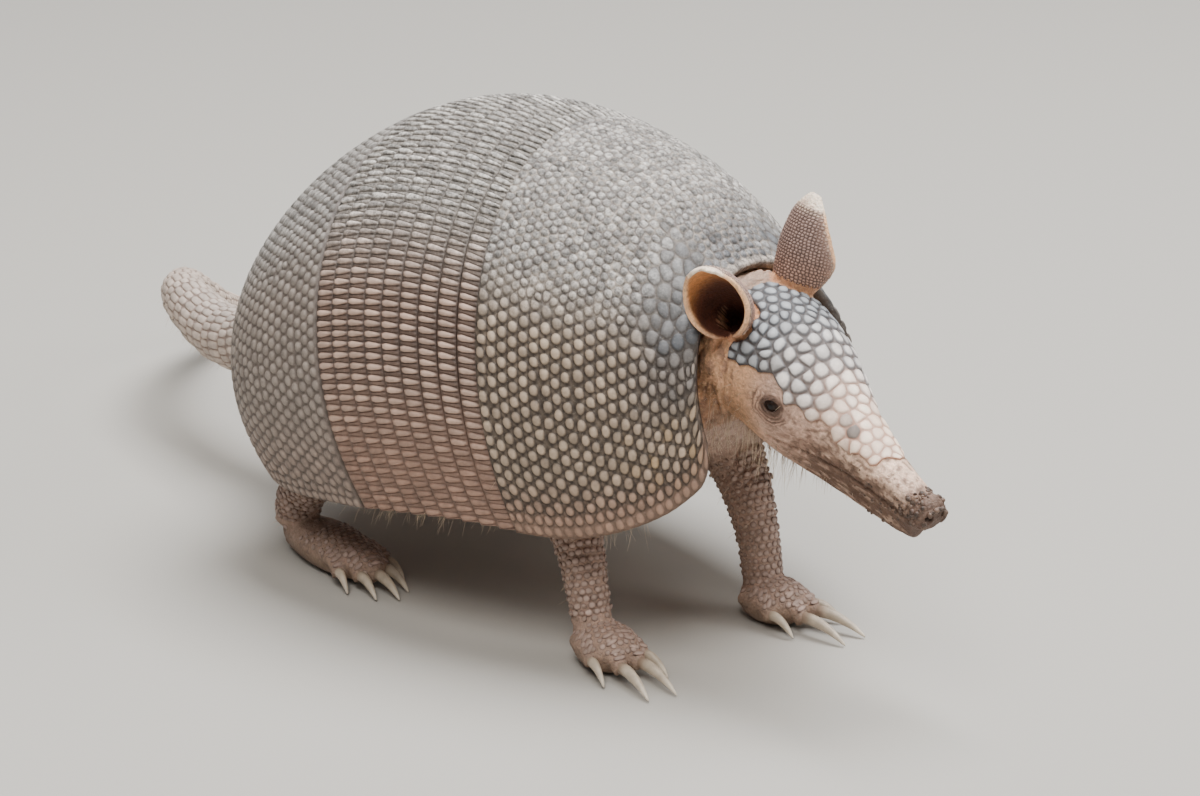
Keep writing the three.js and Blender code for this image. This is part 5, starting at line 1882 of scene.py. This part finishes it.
grit_chance = np.random.default_rng(67)
made = ([], [], [], [])
for _ in range(GRIT_COUNT):
    x = GRIT_AHEAD - GRIT_REACH * grit_chance.uniform() ** 1.6
    on_nose = x > LIPS_BEHIND
    turn = grit_chance.uniform(-1.0, 1.0) * math.pi * (0.75 if on_nose else 1.0)
    if not on_nose and abs(turn) < UNDER_LIPS:
        continue
    out = np.array((0.55 if x > GRIT_MIDDLE else 0.0, math.sin(turn), math.cos(turn)))
    middle = np.array((min(x, GRIT_MIDDLE), 0, -0.001))
    found = skin_below(from_head(middle + out * 0.022), from_head(-out) - from_head(np.zeros(3)))
    if not found:
        continue
    size = grit_chance.uniform(*GRIT_SIZE) * (1.15 if on_nose else 0.8)
    along = Vector(grit_chance.normal(0, 1, 3)).normalized()
    tone = blended(GRIT_DARK, GRIT_LIGHT, grit_chance.uniform() ** 2)
    wide, high = size * grit_chance.uniform(0.6, 1), size * grit_chance.uniform(0.5, 1.1)
    scale_at(made, *found, along, size, wide, high, tone, (0.1 + 7 * (x - 0.07), 0.5 + 0.15 * turn))
grit = mapped_piece("nose_grit", made)
grit.data.materials.append(scale_horn)
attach(grit, "root")
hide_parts("nose")

# -------- the bristles
# Sparse pale bristles: a beard of them hangs from the throat and cheeks, short ones lie along the neck
# and by the eyes and ears, and a thin fringe grows on the belly and the legs. Each is a thin solid
# three-sided hair that tapers to a point.
BRISTLE_RADIUS = 0.00011
BRISTLE_STEPS = 4
BRISTLE_ASIDE = (0.13, 0.41, 0.9)
BRISTLE_ROOT = (0.26, 0.16, 0.095)
BRISTLE_TIP = (0.66, 0.52, 0.36)


bristle_hair, tree, shader, painted = toned_material("bristle_hair")
feed(tree, shader, {"Base Color": painted["Color"], "Roughness": 0.5, "Sheen Weight": 0.2})


def bristles(name, chance, count, wanted, length, lies, on_map):
    """Grows bristles on the skin: wanted, length and lies tell where, how long and which way, and
    on_map where the root is on the map."""
    middles, outward = (rows_of(skin.data.polygons, name) for name in ("center", "normal"))
    weight = rows_of(skin.data.polygons, "area", 1)[:, 0] * wanted(middles, outward)
    chosen = chance.choice(len(weight), count, p=weight / weight.sum())
    root, out = middles[chosen] + chance.normal(0, 0.0003, (count, 3)), outward[chosen]
    long = length(root) * chance.uniform(0.55, 1.15, count)
    way = directions(lies(root, out) + chance.normal(0, 0.22, (count, 3)))
    droop = np.zeros((count, 3))
    droop[:, 2] = -chance.uniform(0.1, 0.6, count)
    bend = chance.normal(0, 0.18, (count, 3)) + droop
    side = directions(np.cross(way, BRISTLE_ASIDE))
    over_way = np.cross(way, side)
    places = on_map(root)
    luck = chance.uniform(0.8, 1.2, count)
    points, colours, patches = [], [], []
    for step in range(BRISTLE_STEPS + 1):
        t = step / BRISTLE_STEPS
        line = root - out * 0.0004 + way * (long * t)[:, None] + bend * (long * t * t * 0.5)[:, None]
        thin = BRISTLE_RADIUS * (1 - 0.85 * t)
        for k in range(3):
            turn = 2 * math.pi * k / 3
            points.append(line + thin * (side * math.cos(turn) + over_way * math.sin(turn)))
            colours.append(blended(BRISTLE_ROOT, BRISTLE_TIP, min(1, t * 1.6))[None] * luck[:, None])
            patches.append(places + (0.0027 * (t - 0.5), 0.0014 * math.cos(turn)))
    each = len(points)
    faces = []
    for first in range(0, count * each, each):
        for step in range(BRISTLE_STEPS):
            for k in range(3):
                n, low, high = (k + 1) % 3, first + 3 * step, first + 3 * step + 3
                faces.append((low + k, low + n, high + n, high + k))
        faces.append((first + 2, first + 1, first))
        faces.append((first + each - 3, first + each - 2, first + each - 1))
    return mapped_piece(name, (
        np.stack(points, 1).reshape(-1, 3), faces, np.stack(colours, 1).reshape(-1, 3),
        np.stack(patches, 1).reshape(-1, 2)))


def around_head(spots):
    """The head unrolled: along the snout, and round it."""
    local = to_head(spots)
    turn = np.arctan2(local[:, 1], local[:, 2])
    return np.stack([0.05 + 0.9 * ramp(local[:, 0], -0.05, 0.12), 0.5 + 0.45 * turn / math.pi], -1)


def along_body(spots):
    """The underside and the legs unrolled: along the body, and across it."""
    x, y, z = (spots - np.array(home)).T
    return np.stack([0.5 + 2.1 * x, 0.5 + 3.2 * y * (0.6 + 4 * z)], -1).clip(0.02, 0.98)


def throat_wanted(spots, out):
    x, y, z = to_head(spots).T
    keel = np.exp(-((x - 0.034) / 0.025) ** 2) * (1 - ramp(z, -0.018, -0.010)) * (x > -0.008)
    return keel * (spots[:, 2] > 0.06)


def throat_length(spots):
    x = to_head(spots)[:, 0]
    return 0.0125 * np.exp(-((x - 0.028) / 0.024) ** 2) + 0.0025


def hanging(spots, out):
    return out * 0.55 + np.array((0.25, 0, -1.0)) @ HEAD_TURN.T * 0.2 + np.array((0.1, 0, -1.0))


def face_wanted(spots, out):
    x, y, z = to_head(spots).T
    spread = eye_places(to_head(spots))[0]
    neck = ramp(x, -0.020, -0.008) * (1 - ramp(x, 0.026, 0.040)) * (z < 0.014)
    cheek = ramp(x, 0.02, 0.035) * (1 - ramp(x, 0.060, 0.080)) * (z < 0.0) * 0.7
    brow = (spread > 1.4) * (spread < 3.4) * (z > 0.006) * 0.8
    return (neck + cheek + brow) * (ear_share(to_head(spots)) < 0) * (spots[:, 2] > 0.06) * (spread > 1.4)


def face_length(spots):
    x = to_head(spots)[:, 0]
    return 0.0036 - 0.0018 * ramp(x, 0.02, 0.06)


def swept(spots, out):
    return out * 0.35 + (np.array((-0.5, 0, -0.75)) @ HEAD_TURN.T)


def belly_wanted(spots, out):
    x, y, z = (spots - np.array(home)).T
    under = (out[:, 2] < -0.25) & (z > 0.028) & (to_head(spots)[:, 0] < -0.02)
    legs = (z > 0.014) & (z < 0.06) & ~under
    return np.where(under, 1.0, 0) + np.where(legs, 0.30, 0)


def belly_length(spots):
    return 0.004 + 0.004 * ramp(spots[:, 2], 0.035, 0.05)


def rearward(spots, out):
    return out * 0.55 + np.array((-0.5, 0, -0.45))


for name, seed, count, wanted, length, lies, on_map, stands_for in (
        ("bristles_throat", 91, 620, throat_wanted, throat_length, hanging, around_head, ("jaw", "neck")),
        ("bristles_face", 92, 900, face_wanted, face_length, swept, around_head, ("head", "neck")),
        ("bristles_belly", 93, 1700, belly_wanted, belly_length, rearward, along_body, ("trunk",))):
    hairs = bristles(name, np.random.default_rng(seed), count, wanted, length, lies, on_map)
    hairs.data.materials.append(bristle_hair)
    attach(hairs, "root")
    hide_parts(*stands_for)
